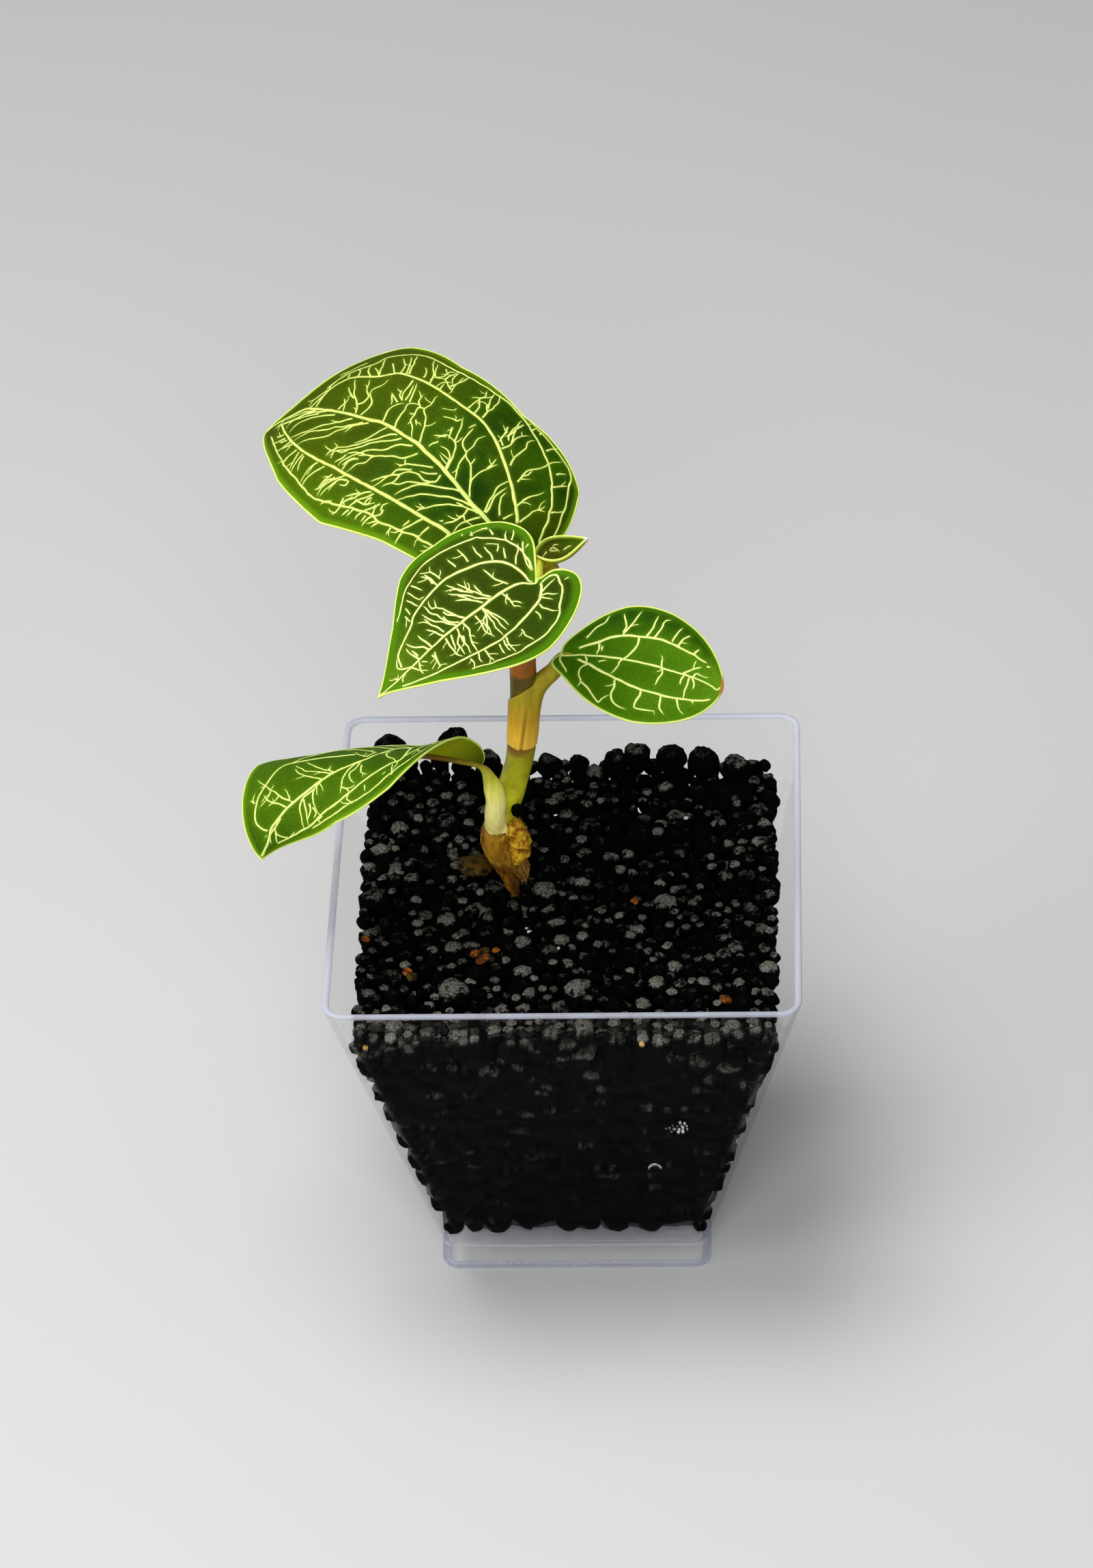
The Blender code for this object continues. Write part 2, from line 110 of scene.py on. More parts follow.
def finishPiece(piece, name, material, slotName, *nodes):
    piece.name = name
    piece.data.name = name
    piece.data.materials.clear()
    piece.data.materials.append(material)
    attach(piece, "root")
    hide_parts(*nodes)
    print("made", name, len(piece.data.polygons), "faces")


def smoothRoute(knots, spacing):
    # points along a smooth curve that passes through the knots
    points = [Vector(knot) for knot in knots]
    ends = [2 * points[0] - points[1]] + points + [2 * points[-1] - points[-2]]
    route = []
    for a, b, c, d in zip(ends, ends[1:], ends[2:], ends[3:]):
        steps = max(1, round((c - b).length / spacing))
        for i in range(steps):
            t = i / steps
            curve = 2 * b + (c - a) * t + (2 * a - 5 * b + 4 * c - d) * t**2 + (3 * b - a - 3 * c + d) * t**3
            route.append(curve / 2)
    route.append(points[-1])
    return route


def evenly(low, high, steps):
    return [low + (high - low) * i / steps for i in range(steps + 1)]


def between(value, table):
    # straight-line reading of a table of (station, value) pairs
    if value <= table[0][0]:
        return table[0][1]
    for (low, a), (high, b) in zip(table, table[1:]):
        if value <= high:
            return a + (b - a) * (value - low) / (high - low)
    return table[-1][1]


def newObject(name, data):
    made = bpy.data.objects.new(name, data)
    bpy.context.scene.collection.objects.link(made)
    return made


def ripple(x, y, z):
    return noise.noise(Vector((x, y, z)))


def rugged(x, y, z):
    return noise.fractal(Vector((x, y, z)), 0.9, 2.1, 4)


def drawLines(name, lines, resolution):
    # round tubes along several lines of (place, radius), made one mesh
    data = bpy.data.curves.new(name, "CURVE")
    data.dimensions = "3D"
    data.bevel_depth = mm
    data.bevel_resolution = resolution
    data.use_fill_caps = True
    for line in lines:
        spline = data.splines.new("POLY")
        spline.points.add(len(line) - 1)
        for point, (place, radius) in zip(spline.points, line):
            point.co = (*place, 1)
            point.radius = radius / mm
    onlySelect(newObject(name, data))
    bpy.ops.object.convert(target="MESH")
    return bpy.context.object


def pressedIn(corner):
    # a corner that would stick through the pot's wall lies flat against it
    room = roomAt(corner.z)
    x = min(max(corner.x, potAxis.x - room), potAxis.x + room)
    y = min(max(corner.y, potAxis.y - room), potAxis.y + room)
    return Vector((x, y, corner.z))


def scatter(name, shapes, placings, lift=0.0):
    # one mesh of many copies: placings are (shape number, matrix, tone), lift lets the grey crest of dust and
    # painted light reach further down
    corners, faces, smooth, tones, upward = [], [], [], [], []
    kept = [([vert.co.copy() for vert in shape.data.vertices],
             [(list(face.vertices), face.use_smooth) for face in shape.data.polygons]) for shape in shapes]
    for number, matrix, tone in placings:
        verts, polygons = kept[number]
        first = len(corners)
        placed = [matrix @ co for co in verts]
        corners += [pressedIn(co) for co in placed]
        upward += [(co - matrix.translation).normalized().z + lift for co in placed]
        faces += [[first + i for i in face] for face, _ in polygons]
        smooth += [flag for _, flag in polygons]
        tones += [tone] * len(verts)
    mesh = bpy.data.meshes.new(name)
    mesh.from_pydata(corners, [], faces)
    mesh.polygons.foreach_set("use_smooth", smooth)
    store(mesh, tone=tones, upward=upward)
    return newObject(name, mesh)


def store(mesh, domain="POINT", **tables):
    # each table is kept as an attribute for the materials
    for label, values in tables.items():
        made = mesh.attributes.new(label, "FLOAT", domain)
        if values:
            made.data.foreach_set("value", values)


def removeAll(shapes):
    for shape in shapes:
        bpy.data.objects.remove(shape, do_unlink=True)


# material helpers

def newMaterial(name, roughness=0.5, gloss=0.5):
    made = bpy.data.materials.new(name)
    made.use_nodes = True
    shader = made.node_tree.nodes["Principled BSDF"]
    dress(made.node_tree, shader, Roughness=roughness, Specular_IOR_Level=gloss)
    return made, made.node_tree, shader


def dress(tree, shader, **values):
    # feeds the shader's sockets, which are named with a line for each space
    for name, value in values.items():
        feed(tree, shader.inputs[name.replace("_", " ")], value)


def objectPlace(tree, scale=(1, 1, 1)):
    # Object coordinates, stretched
    place = tree.nodes.new("ShaderNodeTexCoord").outputs["Object"]
    mapping = tree.nodes.new("ShaderNodeMapping")
    mapping.inputs["Scale"].default_value = scale
    tree.links.new(place, mapping.inputs["Vector"])
    return mapping.outputs["Vector"]


def noiseOf(tree, place, scale, detail=3.0, roughness=0.55):
    node = tree.nodes.new("ShaderNodeTexNoise")
    node.inputs["Scale"].default_value = scale
    node.inputs["Detail"].default_value = detail
    node.inputs["Roughness"].default_value = roughness
    tree.links.new(place, node.inputs["Vector"])
    return node.outputs["Fac"]


def attributeOf(tree, name):
    node = tree.nodes.new("ShaderNodeAttribute")
    node.attribute_name = name
    return node.outputs["Fac"]


def spread(tree, value, low, high, toLow=0.0, toHigh=1.0):
    node = tree.nodes.new("ShaderNodeMapRange")
    for socket, number in zip(("From Min", "From Max", "To Min", "To Max"), (low, high, toLow, toHigh)):
        node.inputs[socket].default_value = number
    tree.links.new(value, node.inputs["Value"])
    return node.outputs["Result"]


def rampOf(tree, value, stops):
    node = tree.nodes.new("ShaderNodeValToRGB")
    ramp = node.color_ramp
    while len(ramp.elements) < len(stops):
        ramp.elements.new(0.5)
    for element, (position, colour) in zip(ramp.elements, stops):
        element.position = position
        element.color = (*colour, 1)
    tree.links.new(value, node.inputs["Fac"])
    return node.outputs["Color"]


def heightOf(tree):
    split = tree.nodes.new("ShaderNodeSeparateXYZ")
    tree.links.new(objectPlace(tree), split.inputs["Vector"])
    return split.outputs["Z"]


def heightRamp(tree, low, high, stops):
    # colours by height above the floor, in metres
    share = spread(tree, heightOf(tree), low, high)
    return rampOf(tree, share, [((z - low) / (high - low), colour) for z, colour in stops])


def feed(tree, socket, value):
    # gives a socket a link, a colour or a number
    if isinstance(value, bpy.types.NodeSocket):
        tree.links.new(value, socket)
    else:
        socket.default_value = (*value, 1) if isinstance(value, tuple) else value


def mixOf(tree, share, a, b, blend="MIX"):
    node = tree.nodes.new("ShaderNodeMix")
    node.data_type = "RGBA"
    node.blend_type = blend
    for number, value in ((0, share), (6, a), (7, b)):
        feed(tree, node.inputs[number], value)
    return node.outputs[2]


def times(tree, a, b, operation="MULTIPLY"):
    node = tree.nodes.new("ShaderNodeMath")
    node.operation = operation
    feed(tree, node.inputs[0], a)
    feed(tree, node.inputs[1], b)
    return node.outputs[0]


def largerOf(tree, a, b):
    return times(tree, a, b, "MAXIMUM")


def bumpOn(tree, shader, height, strength, distance):
    node = tree.nodes.new("ShaderNodeBump")
    node.inputs["Strength"].default_value = strength
    node.inputs["Distance"].default_value = distance
    tree.links.new(height, node.inputs["Height"])
    tree.links.new(node.outputs["Normal"], shader.inputs["Normal"])


# camera, light and floor

studio = {
    "focalPixels": 9087.7,               # focal length in pixels of the 1601 x 2296 frame
    "imageHeight": 2296,
    "yaw": 3.112, "elevation": 39.352, "roll": -2.49,
    "aimHeight": 26.0,                   # millimetres above the floor, on the pot's axis
    "aim": (-3.548, 32.202),             # and on from there, right and up across the view
    "distance": 811.1, "clipStart": 0.05,
    "lights": [                          # name, place, size and power
        ("top_softbox", (-0.15, 0.03, 0.66), 0.36, 3.0), ("front_softbox", (0.02, -0.52, 0.50), 0.32, 2.2),
        ("side_softbox", (-0.50, -0.26, 0.30), 0.36, 1.3)],
    "lightAim": (0, 0, 0.06),
    "skyColour": (0.93, 0.95, 1.0), "skyStrength": 0.26,
    "floorColour": (0.58, 0.58, 0.57), "floorRadius": 4, "floorDrop": 0.00005,
}


def placeCamera():
    yaw, elevation, roll = (math.radians(studio[key]) for key in ("yaw", "elevation", "roll"))
    back = Vector((math.sin(yaw) * math.cos(elevation), -math.cos(yaw) * math.cos(elevation),
                   math.sin(elevation)))
    level = (-back).cross(Vector((0, 0, 1))).normalized()
    upright = level.cross(-back)
    right = level * math.cos(roll) + upright * math.sin(roll)
    up = upright * math.cos(roll) - level * math.sin(roll)
    aim = Vector((0, 0, studio["aimHeight"])) + right * studio["aim"][0] + up * studio["aim"][1]
    place = potAxis + (aim + back * studio["distance"]) * mm
    data = bpy.data.cameras.new("camera")
    data.sensor_fit = "VERTICAL"
    data.sensor_height = 36
    data.lens = studio["focalPixels"] * data.sensor_height / studio["imageHeight"]
    data.clip_start = studio["clipStart"]
    camera = newObject("camera", data)
    camera.matrix_world = Matrix(((right.x, up.x, back.x, place.x), (right.y, up.y, back.y, place.y),
                                  (right.z, up.z, back.z, place.z), (0, 0, 0, 1)))
    bpy.context.scene.camera = camera


def areaLight(name, place, size, power):
    data = bpy.data.lights.new(name, "AREA")
    data.shape = "DISK"
    data.size = size
    data.energy = power
    light = newObject(name, data)
    light.location = place
    light.rotation_euler = (Vector(studio["lightAim"]) - Vector(place)).to_track_quat("-Z", "Y").to_euler()


def makeStudio():
    placeCamera()
    for light in studio["lights"]:
        areaLight(*light)
    world = bpy.data.worlds.new("studio")
    world.use_nodes = True
    dress(world.node_tree, world.node_tree.nodes["Background"], Color=studio["skyColour"],
          Strength=studio["skyStrength"])
    bpy.context.scene.world = world
    bpy.context.scene.view_settings.view_transform = "Standard"
    bpy.ops.mesh.primitive_circle_add(vertices=96, radius=studio["floorRadius"], fill_type="NGON")
    floor = bpy.context.object
    floor.name = "floor"
    for vert in floor.data.vertices:
        vert.co.z = -studio["floorDrop"]
    material, tree, shader = newMaterial("pale_floor", 0.6)
    cloud = noiseOf(tree, objectPlace(tree), 14, 2)
    shade = tuple(value * 0.97 for value in studio["floorColour"])
    dress(tree, shader, Base_Color=mixOf(tree, cloud, shade, studio["floorColour"]))
    floor.data.materials.append(material)
    print("studio ready")


makeStudio()


# the clear square pot

pot = {
    "height": 0.055, "halfRim": 0.030, "halfFoot": 0.0176, "wall": 0.0009, "corner": 0.0028, "cornerSteps": 9,
    "footHeight": 0.0040, "footWall": 0.0010, "footCorner": 0.0022, "footRounding": 0.0002,
    "floorFillet": 0.0012, "rimRounding": 0.00038, "sharp": math.radians(60), "smooth": math.radians(35),
    "colour": (0.975, 0.980, 0.990), "ior": 1.10, "roughness": 0.0, "gloss": 0.5,
    "body": 0.14,                        # the share of the light that the clear wall bends or mirrors
    "edgeHighlight": (0.58, 0.60, 0.71),         # painted highlight: the lip and the foot's edges are coloured whitish where they catch the light
    "highlightRoughness": 0.3, "highlightClarity": 0.45, "seamHighlight": 0.7,
    "lipBand": 0.0006, "soleBand": 0.0005, "seamBand": 0.00022,      # how far the painted highlight reaches from an edge
}


def potHalf(height):
    # half the pot's outer width at a height
    share = (height - pot["footHeight"]) / (pot["height"] - pot["footHeight"])
    return pot["halfFoot"] + (pot["halfRim"] - pot["halfFoot"]) * share


def taperedBox(low, high, halfLow, halfHigh, corner, dropped=()):
    # a box with rounded upright edges, opened at the ends named in dropped
    bpy.ops.mesh.primitive_cube_add(size=2)
    box = bpy.context.object
    for vert in box.data.vertices:
        half = halfHigh if vert.co.z > 0 else halfLow
        vert.co = (vert.co.x * half, vert.co.y * half, high if vert.co.z > 0 else low)
    editFrom(box, "EDGE")
    pick(box, "edges", lambda edge: abs(edge.verts[0].co.z - edge.verts[1].co.z) > (high - low) / 2)
    bpy.ops.mesh.bevel(offset=corner, segments=pot["cornerSteps"], profile=0.5, affect="EDGES")
    bpy.ops.mesh.select_mode(type="FACE")
    bpy.ops.mesh.select_all(action="DESELECT")
    for end, sign in (("top", 1), ("bottom", -1)):
        if end in dropped:
            pick(box, "faces", lambda face: face.normal.z * sign > 0.9)
    bpy.ops.mesh.delete(type="ONLY_FACE")
    bpy.ops.object.mode_set(mode="OBJECT")
    return box


def makePot():
    foot, rim = pot["footHeight"], pot["height"]
    body = taperedBox(foot, rim, pot["halfFoot"], pot["halfRim"], pot["corner"], ["top"])
    editFrom(body, "EDGE")
    pick(body, "edges", lambda edge: all(vert.co.z < foot + 1e-6 for vert in edge.verts))
    bpy.ops.mesh.bevel(offset=pot["floorFillet"], segments=4, profile=0.5, affect="EDGES")
    bpy.ops.object.mode_set(mode="OBJECT")
    addModifier(body, "SOLIDIFY", thickness=pot["wall"], offset=-1, use_even_offset=True)
    for vert in body.data.vertices:      # the thickened lip leans with the wall, so it is levelled
        if vert.co.z > rim - pot["wall"]:
            vert.co.z = rim
    addModifier(body, "BEVEL", width=pot["rimRounding"], segments=4, limit_method="ANGLE",
                angle_limit=pot["sharp"])
    stand = taperedBox(0, foot + pot["wall"] / 2, pot["halfFoot"], pot["halfFoot"], pot["footCorner"],
                       ["top", "bottom"])
    addModifier(stand, "SOLIDIFY", thickness=pot["footWall"], offset=-1, use_even_offset=True)
    addModifier(stand, "BEVEL", width=pot["footRounding"], segments=2, limit_method="ANGLE",
                angle_limit=pot["sharp"])
    addModifier(body, "BOOLEAN", operation="UNION", solver="EXACT", object=stand)
    removeAll([stand])
    shift(body)
    onlySelect(body)
    bpy.ops.object.shade_smooth_by_angle(angle=pot["smooth"])
    addModifier(body, "WEIGHTED_NORMAL", weight=50, keep_sharp=True)     # keeps the large walls optically flat
    finishPiece(body, "pot_clear", potMaterial(), "clear_plastic", "pot")


def potMaterial():
    material, tree, shader = newMaterial("clear_plastic", pot["roughness"], pot["gloss"])
    place, height = objectPlace(tree), heightOf(tree)
    # painted highlight: a whitish, rougher, less clear band along the lip, the sole and the top of the foot
    lip = spread(tree, height, pot["height"] - pot["lipBand"], pot["height"] - pot["lipBand"] * 0.6)
    sole = spread(tree, height, pot["soleBand"], pot["soleBand"] * 0.5)
    below = spread(tree, height, pot["footHeight"] - pot["seamBand"], pot["footHeight"])
    above = spread(tree, height, pot["footHeight"] + pot["seamBand"] * 2, pot["footHeight"] + pot["seamBand"])
    seam = times(tree, times(tree, below, above), pot["seamHighlight"])
    edges = largerOf(tree, lip, largerOf(tree, sole, seam))
    edgeHighlight = times(tree, edges, spread(tree, noiseOf(tree, place, 350, 2), 0.3, 0.6, 0.88, 1.0))
    smear = spread(tree, noiseOf(tree, place, 120, 3), 0.5, 0.8)
    clear = mixOf(tree, smear, pot["colour"], tuple(value * 0.985 for value in pot["colour"]))
    dress(tree, shader, Base_Color=mixOf(tree, edgeHighlight, clear, pot["edgeHighlight"]), IOR=pot["ior"],
          Roughness=spread(tree, edgeHighlight, 0, 1, pot["roughness"], pot["highlightRoughness"]),
          Transmission_Weight=spread(tree, edgeHighlight, 0, 1, 1.0, pot["highlightClarity"]),
          Alpha=spread(tree, edgeHighlight, 0, 1, pot["body"], 1.0))
    return material


makePot()


# the granules: loose lumps laid on each other in the top, and one layer against the walls and floor
granules = {
    "seed": 23,
    "shapes": 16, "largerShapes": 8,     # different lumps, each copied many times
    "cube": 1.3, "cuts": 2, "largerCuts": 6, "stretch": (0.82, 1.22), "rough": (0.92, 1.07),
    "largerRough": 0.16, "largerFineness": 1.6,
    "facets": (1, 3), "facetDepth": (0.66, 0.86),      # broken faces on a lump, and how far out they lie
    "bedFront": 0.0458, "bedBack": 0.0480, "roomGap": 0.00005,
    "depth": 0.0042,                     # the loose ones start this far under the bed's height
    "crown": 0.0027, "uneven": 0.0009, "swells": 90,   # and their tops end this far above it, give or take
    "topRadius": (0.00080, 0.00245), "smallness": 1.6,            # there are more small ones than large ones
    "topCount": 1500, "dropHeight": 0.047,
    "tries": 7, "misses": 60,            # places tried for each lump, and failures in a row that end the laying
    "wallRadius": (0.00075, 0.00210), "wallTries": 4600, "floorTries": 1600,
    "shrinkPace": 1.25, "shrinkSpread": (0.6, 1),      # how soon the flat layers go over to small lumps
    "wallFoot": 0.0002, "wallTop": 0.0004, "floorEdge": 0.0006, "floorLift": 0.00015, "floorRest": 0.95,
    "packing": 0.86, "flatPacking": 0.84,              # lumps stand this much closer than round balls could
    "wallGap": 0.78, "stemGap": 0.75,    # from there to a lump's middle, as a share of its radius
    "coreGap": 0.0008, "coreFoot": 0.0006, "coreDepth": 0.0030, "coreCorner": 0.002, "coreCuts": 3,
    "coreVoxel": 0.0011, "coreSkin": 0.0007, "coreFineness": 420, "coreFloor": 0.0001,
    "dustyLit": 0.50,                       # half of the lumps have a grey crest, dust with painted light on their upper sides; the rest are almost black
    "dustyLitTone": (0.40, 1.0), "plainTone": (0.0, 0.30), "largerTone": (0.15, 0.50),
    "topTone": [(-0.028, 1.0), (0.0, 0.95), (0.026, 0.70)],       # painted light: the grey crests fade towards the back
    "frontPaintedLight": [(-0.0232, 0.40), (-0.0212, 0.0)],               # painted light: more grey on every lump along the front wall
    "wallTone": [(0.0, 0.20), (0.022, 0.34), (0.0455, 0.56)],     # painted shade: less grey further down
    "wallLift": 0.42,                    # the grey crest, dust with painted light, reaches further down on the lumps that lean on a wall
    "dark": (0.0010, 0.0010, 0.0010), "grey": (0.110, 0.107, 0.090), "pale": (0.30, 0.29, 0.25),
}
biggerGranules = [                       # place and radius of single larger ones, which lie on the others
    (-0.0255, 0.0222, 0.0015), (-0.0218, 0.0256, 0.0015), (-0.0256, 0.0256, 0.0014), (-0.0240, 0.0246, 0.0023),
    (-0.0172, 0.0256, 0.0013), (-0.0140, 0.0256, 0.0013), (-0.0155, 0.0262, 0.0019), (-0.0110, 0.0243, 0.0016),
    (-0.0030, 0.0240, 0.0016), (0.0008, 0.0244, 0.0013), (0.0056, 0.0238, 0.0019), (0.0085, 0.0240, 0.0017),
    (0.0130, 0.0238, 0.0019), (0.0172, 0.0236, 0.0020), (0.0215, 0.0232, 0.0018),
]
clingingGranule = (-0.0059, 0.0012, 0.0624, 0.00085)     # stuck to the stem: place, height and radius


def bedAt(y):
    # the bed's height, which rises towards the back
    return granules["bedFront"] + (granules["bedBack"] - granules["bedFront"]) * (y / pot["halfRim"] + 1) / 2


def roomAt(z):
    # half the pot's inner width at a height
    return potHalf(z) - pot["wall"] * 1.03 - granules["roomGap"]


def makeLumps(draw, count, cuts=granules["cuts"]):
    # broken lumps of about unit radius; with more cuts they get a finer, rougher skin
    shapes = []
    for _ in range(count):
        bpy.ops.mesh.primitive_cube_add(size=granules["cube"])
        lump = bpy.context.object
        editAll(lump, ("subdivide", {"number_cuts": cuts}))
        stretch = Vector([draw.uniform(*granules["stretch"]) for _ in range(3)])
        offset = Vector([draw.uniform(0, 50) for _ in range(3)])
        for vert in lump.data.vertices:
            way = vert.co.normalized()
            if cuts == granules["cuts"]:
                rough = draw.uniform(*granules["rough"])
            else:
                knobs = noise.fractal(way * granules["largerFineness"] + offset, 0.8, 2.1, 4)
                rough = 1 + granules["largerRough"] * knobs
            vert.co = way * rough * stretch
        lump.data.shade_smooth()
        for _ in range(draw.randint(*granules["facets"])):
            way = Vector([draw.gauss(0, 1) for _ in range(3)]).normalized()
            editAll(lump, cutOff(way * draw.uniform(*granules["facetDepth"]), way), ("faces_shade_flat", {}))
        shapes.append(lump)
    return shapes


def anyTurn(draw):
    return Euler([draw.uniform(0, 2 * math.pi) for _ in range(3)]).to_matrix().to_4x4()


def anyTone(draw):
    return draw.uniform(*granules["dustyLitTone" if draw.random() < granules["dustyLit"] else "plainTone"])


class Heap:
    # balls that settle on each other, found again by the cell they lie in
    def __init__(self, cell):
        self.cell, self.cells = cell, {}

    def near(self, x, y):
        column, row = math.floor(x / self.cell), math.floor(y / self.cell)
        for i in (column - 1, column, column + 1):
            for j in (row - 1, row, row + 1):
                yield from self.cells.get((i, j), ())

    def add(self, x, y, z, radius):
        key = (math.floor(x / self.cell), math.floor(y / self.cell))
        self.cells.setdefault(key, []).append((x, y, z, radius))

    def rest(self, x, y, radius, low):
        # the height at which a ball dropped here comes to rest
        z = low
        for ox, oy, oz, other in self.near(x, y):
            reach = (radius + other) * granules["packing"]
            flat = (x - ox) ** 2 + (y - oy) ** 2
            if flat < reach * reach:
                z = max(z, oz + math.sqrt(reach * reach - flat))
        return z


def nearStem(x, y, z, radius):
    axis = stemAt(z)
    return math.hypot(x - axis.x, y - axis.y) < radius * granules["stemGap"] + stemRadius(z)


def roomFor(radius, z):
    # how far from the axis the middle of a lump may lie
    return roomAt(z) - radius * granules["wallGap"]


def layTop(draw):
    # drops lumps one by one, each where it settles lowest: gives the heap, the loose lumps and the larger ones
    placings, missed = [], 0
    low, high = granules["topRadius"]
    heap = Heap(2 * high)
    while len(placings) < granules["topCount"] and missed < granules["misses"]:
        radius = low + (high - low) * draw.random() ** granules["smallness"]
        best = None
        for _ in range(granules["tries"]):
            room = roomFor(radius, granules["dropHeight"])
            x, y = draw.uniform(-room, room), draw.uniform(-room, room)
            z = heap.rest(x, y, radius, bedAt(y) - granules["depth"] + radius)
            room = roomFor(radius, z)
            if abs(x) > room or abs(y) > room or nearStem(x, y, z, radius):
                continue
            if best is None or z - bedAt(y) < best[2] - bedAt(best[1]):
                best = (x, y, z)
        missed += 1
        if best:
            swell = ripple(best[0] * granules["swells"], best[1] * granules["swells"], 0)
            if best[2] + radius < bedAt(best[1]) + granules["crown"] + granules["uneven"] * swell:
                heap.add(*best, radius)
                placings.append((*best, radius))
                missed = 0
    larger = [clingingGranule]
    for x, y, radius in biggerGranules:
        z = heap.rest(x, y, radius, bedAt(y))
        heap.add(x, y, z, radius)
        larger.append((x, y, z, radius))
    return heap, placings, larger


def layFlat(draw, tries, spanAt, top):
    # lumps side by side in a plane, the larger ones first: spanAt gives half the width at a height
    low, high = granules["wallRadius"]
    heap, laid = Heap(2 * high), []
    for attempt in range(tries):
        shrunk = min(1, attempt / tries * granules["shrinkPace"]) * draw.uniform(*granules["shrinkSpread"])
        radius = high - (high - low) * shrunk
        v = draw.uniform(radius, top - radius)
        span = spanAt(v) - radius * granules["wallGap"]
        u = draw.uniform(-span, span)
        if all(math.hypot(u - ou, v - ov) > (radius + other) * granules["flatPacking"]
               for ou, ov, _, other in heap.near(u, v)):
            heap.add(u, v, 0, radius)
            laid.append((u, v, radius))
    return laid


def granuleMatrix(draw, place, radius):
    return Matrix.Translation(potAxis + Vector(place)) @ anyTurn(draw) @ Matrix.Scale(radius, 4)


def granuleMaterial():
    material, tree, shader = newMaterial("charcoal_granules", 0.85, 0.025)
    place = objectPlace(tree)
    tone = attributeOf(tree, "tone")
    litCrest = spread(tree, attributeOf(tree, "upward"), 0.10, 0.80)      # painted light: the grey dust patches keep to the upper sides, where the light falls
    ragged = times(tree, noiseOf(tree, place, 1050, 5, 0.70), spread(tree, tone, 0, 1, 0.70, 1.22))
    patches = spread(tree, times(tree, litCrest, ragged), 0.42, 0.53)
    grit = spread(tree, noiseOf(tree, place, 4200, 3, 0.7), 0.40, 0.62)
    dustAndLight = mixOf(tree, grit, granules["grey"], granules["pale"])
    dustAndLight = mixOf(tree, spread(tree, tone, 0.2, 1.0, 0.85, 0.0), dustAndLight, granules["dark"])
    # dust with painted light on the lumps' upper sides
    dustAndLightPatches = times(tree, patches, spread(tree, noiseOf(tree, place, 2600, 3, 0.7), 0.36, 0.52, 0.25, 1.0))
    dress(tree, shader, Base_Color=mixOf(tree, dustAndLightPatches, granules["dark"], dustAndLight))
    bumpOn(tree, shader, noiseOf(tree, place, 2400, 5, 0.75), 1.0, 0.0004)
    return material


def makeGranules():
    draw = random.Random(granules["seed"])
    shapes = makeLumps(draw, granules["shapes"])
    material = granuleMaterial()

    def placing(place, radius, toneAt):
        return draw.choice(range(len(shapes))), granuleMatrix(draw, place, radius), toneAt(anyTone(draw))

    heap, small, large = layTop(draw)
    top = [placing((x, y, z), radius, lambda tone: tone * between(y, granules["topTone"])
                   + between(y, granules["frontPaintedLight"])) for x, y, z, radius in small]
    roughShapes = makeLumps(draw, granules["largerShapes"], granules["largerCuts"])
    low, high = granules["largerTone"]
    larger = [(i % len(roughShapes), granuleMatrix(draw, place, radius), low + (high - low) * draw.random())
              for i, (*place, radius) in enumerate(large)]
    floor = pot["footHeight"] + pot["wall"]
    rise = math.cos(math.atan2(pot["halfRim"] - pot["halfFoot"], pot["height"] - pot["footHeight"]))
    walls = []
    for side in range(4):
        turn = Matrix.Rotation(side * math.pi / 2, 4, "Z")
        for u, v, radius in layFlat(draw, granules["wallTries"], lambda v: roomAt(floor + v * rise),
                                    (bedAt(0) + granules["wallTop"] - floor) / rise):
            z = floor + granules["wallFoot"] + v * rise
            walls.append(placing(turn @ Vector((u, -roomFor(radius, z), z)), radius,
                                 lambda tone: tone * between(z, granules["wallTone"])))
    half = roomAt(floor) - granules["floorEdge"]
    under = [placing((u, v - half, floor + granules["floorLift"] + radius * granules["floorRest"]), radius,
                     lambda tone: tone)
             for u, v, radius in layFlat(draw, granules["floorTries"], lambda v: half, 2 * half)]
    for name, kinds, placings, lift in (("top", shapes, top, 0), ("walls", shapes, walls, granules["wallLift"]),
                                        ("floor", shapes, under, 0), ("larger", roughShapes, larger, 0)):
        piece = scatter("granules_" + name, kinds, placings, lift)
        finishPiece(piece, "granules_" + name, material, "granules", "soil")
    removeAll(shapes + roughShapes)
    makeCore(material, floor)
    return heap


def makeCore(material, floor):
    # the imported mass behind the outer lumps, with a rough skin
    low, high = floor + granules["coreFoot"], granules["bedFront"] - granules["coreDepth"]
    core = taperedBox(low, high, roomAt(low) - granules["coreGap"], roomAt(high) - granules["coreGap"],
                      granules["coreCorner"])
    editAll(core, ("subdivide", {"number_cuts": granules["coreCuts"]}), ("quads_convert_to_tris", {}))
    addModifier(core, "REMESH", mode="VOXEL", voxel_size=granules["coreVoxel"])
    for vert in core.data.vertices:
        vert.co = vert.co + noise.noise_vector(vert.co * granules["coreFineness"]) * granules["coreSkin"]
        vert.co.z = max(vert.co.z, floor + granules["coreFloor"])
    store(core.data, tone=None, upward=None)
    shift(core)
    core.data.shade_smooth()
    finishPiece(core, "granule_core", material, "granules", "soil")


plantGloss = 0.25                    # specular level of the stem, the stalks and the papery remains

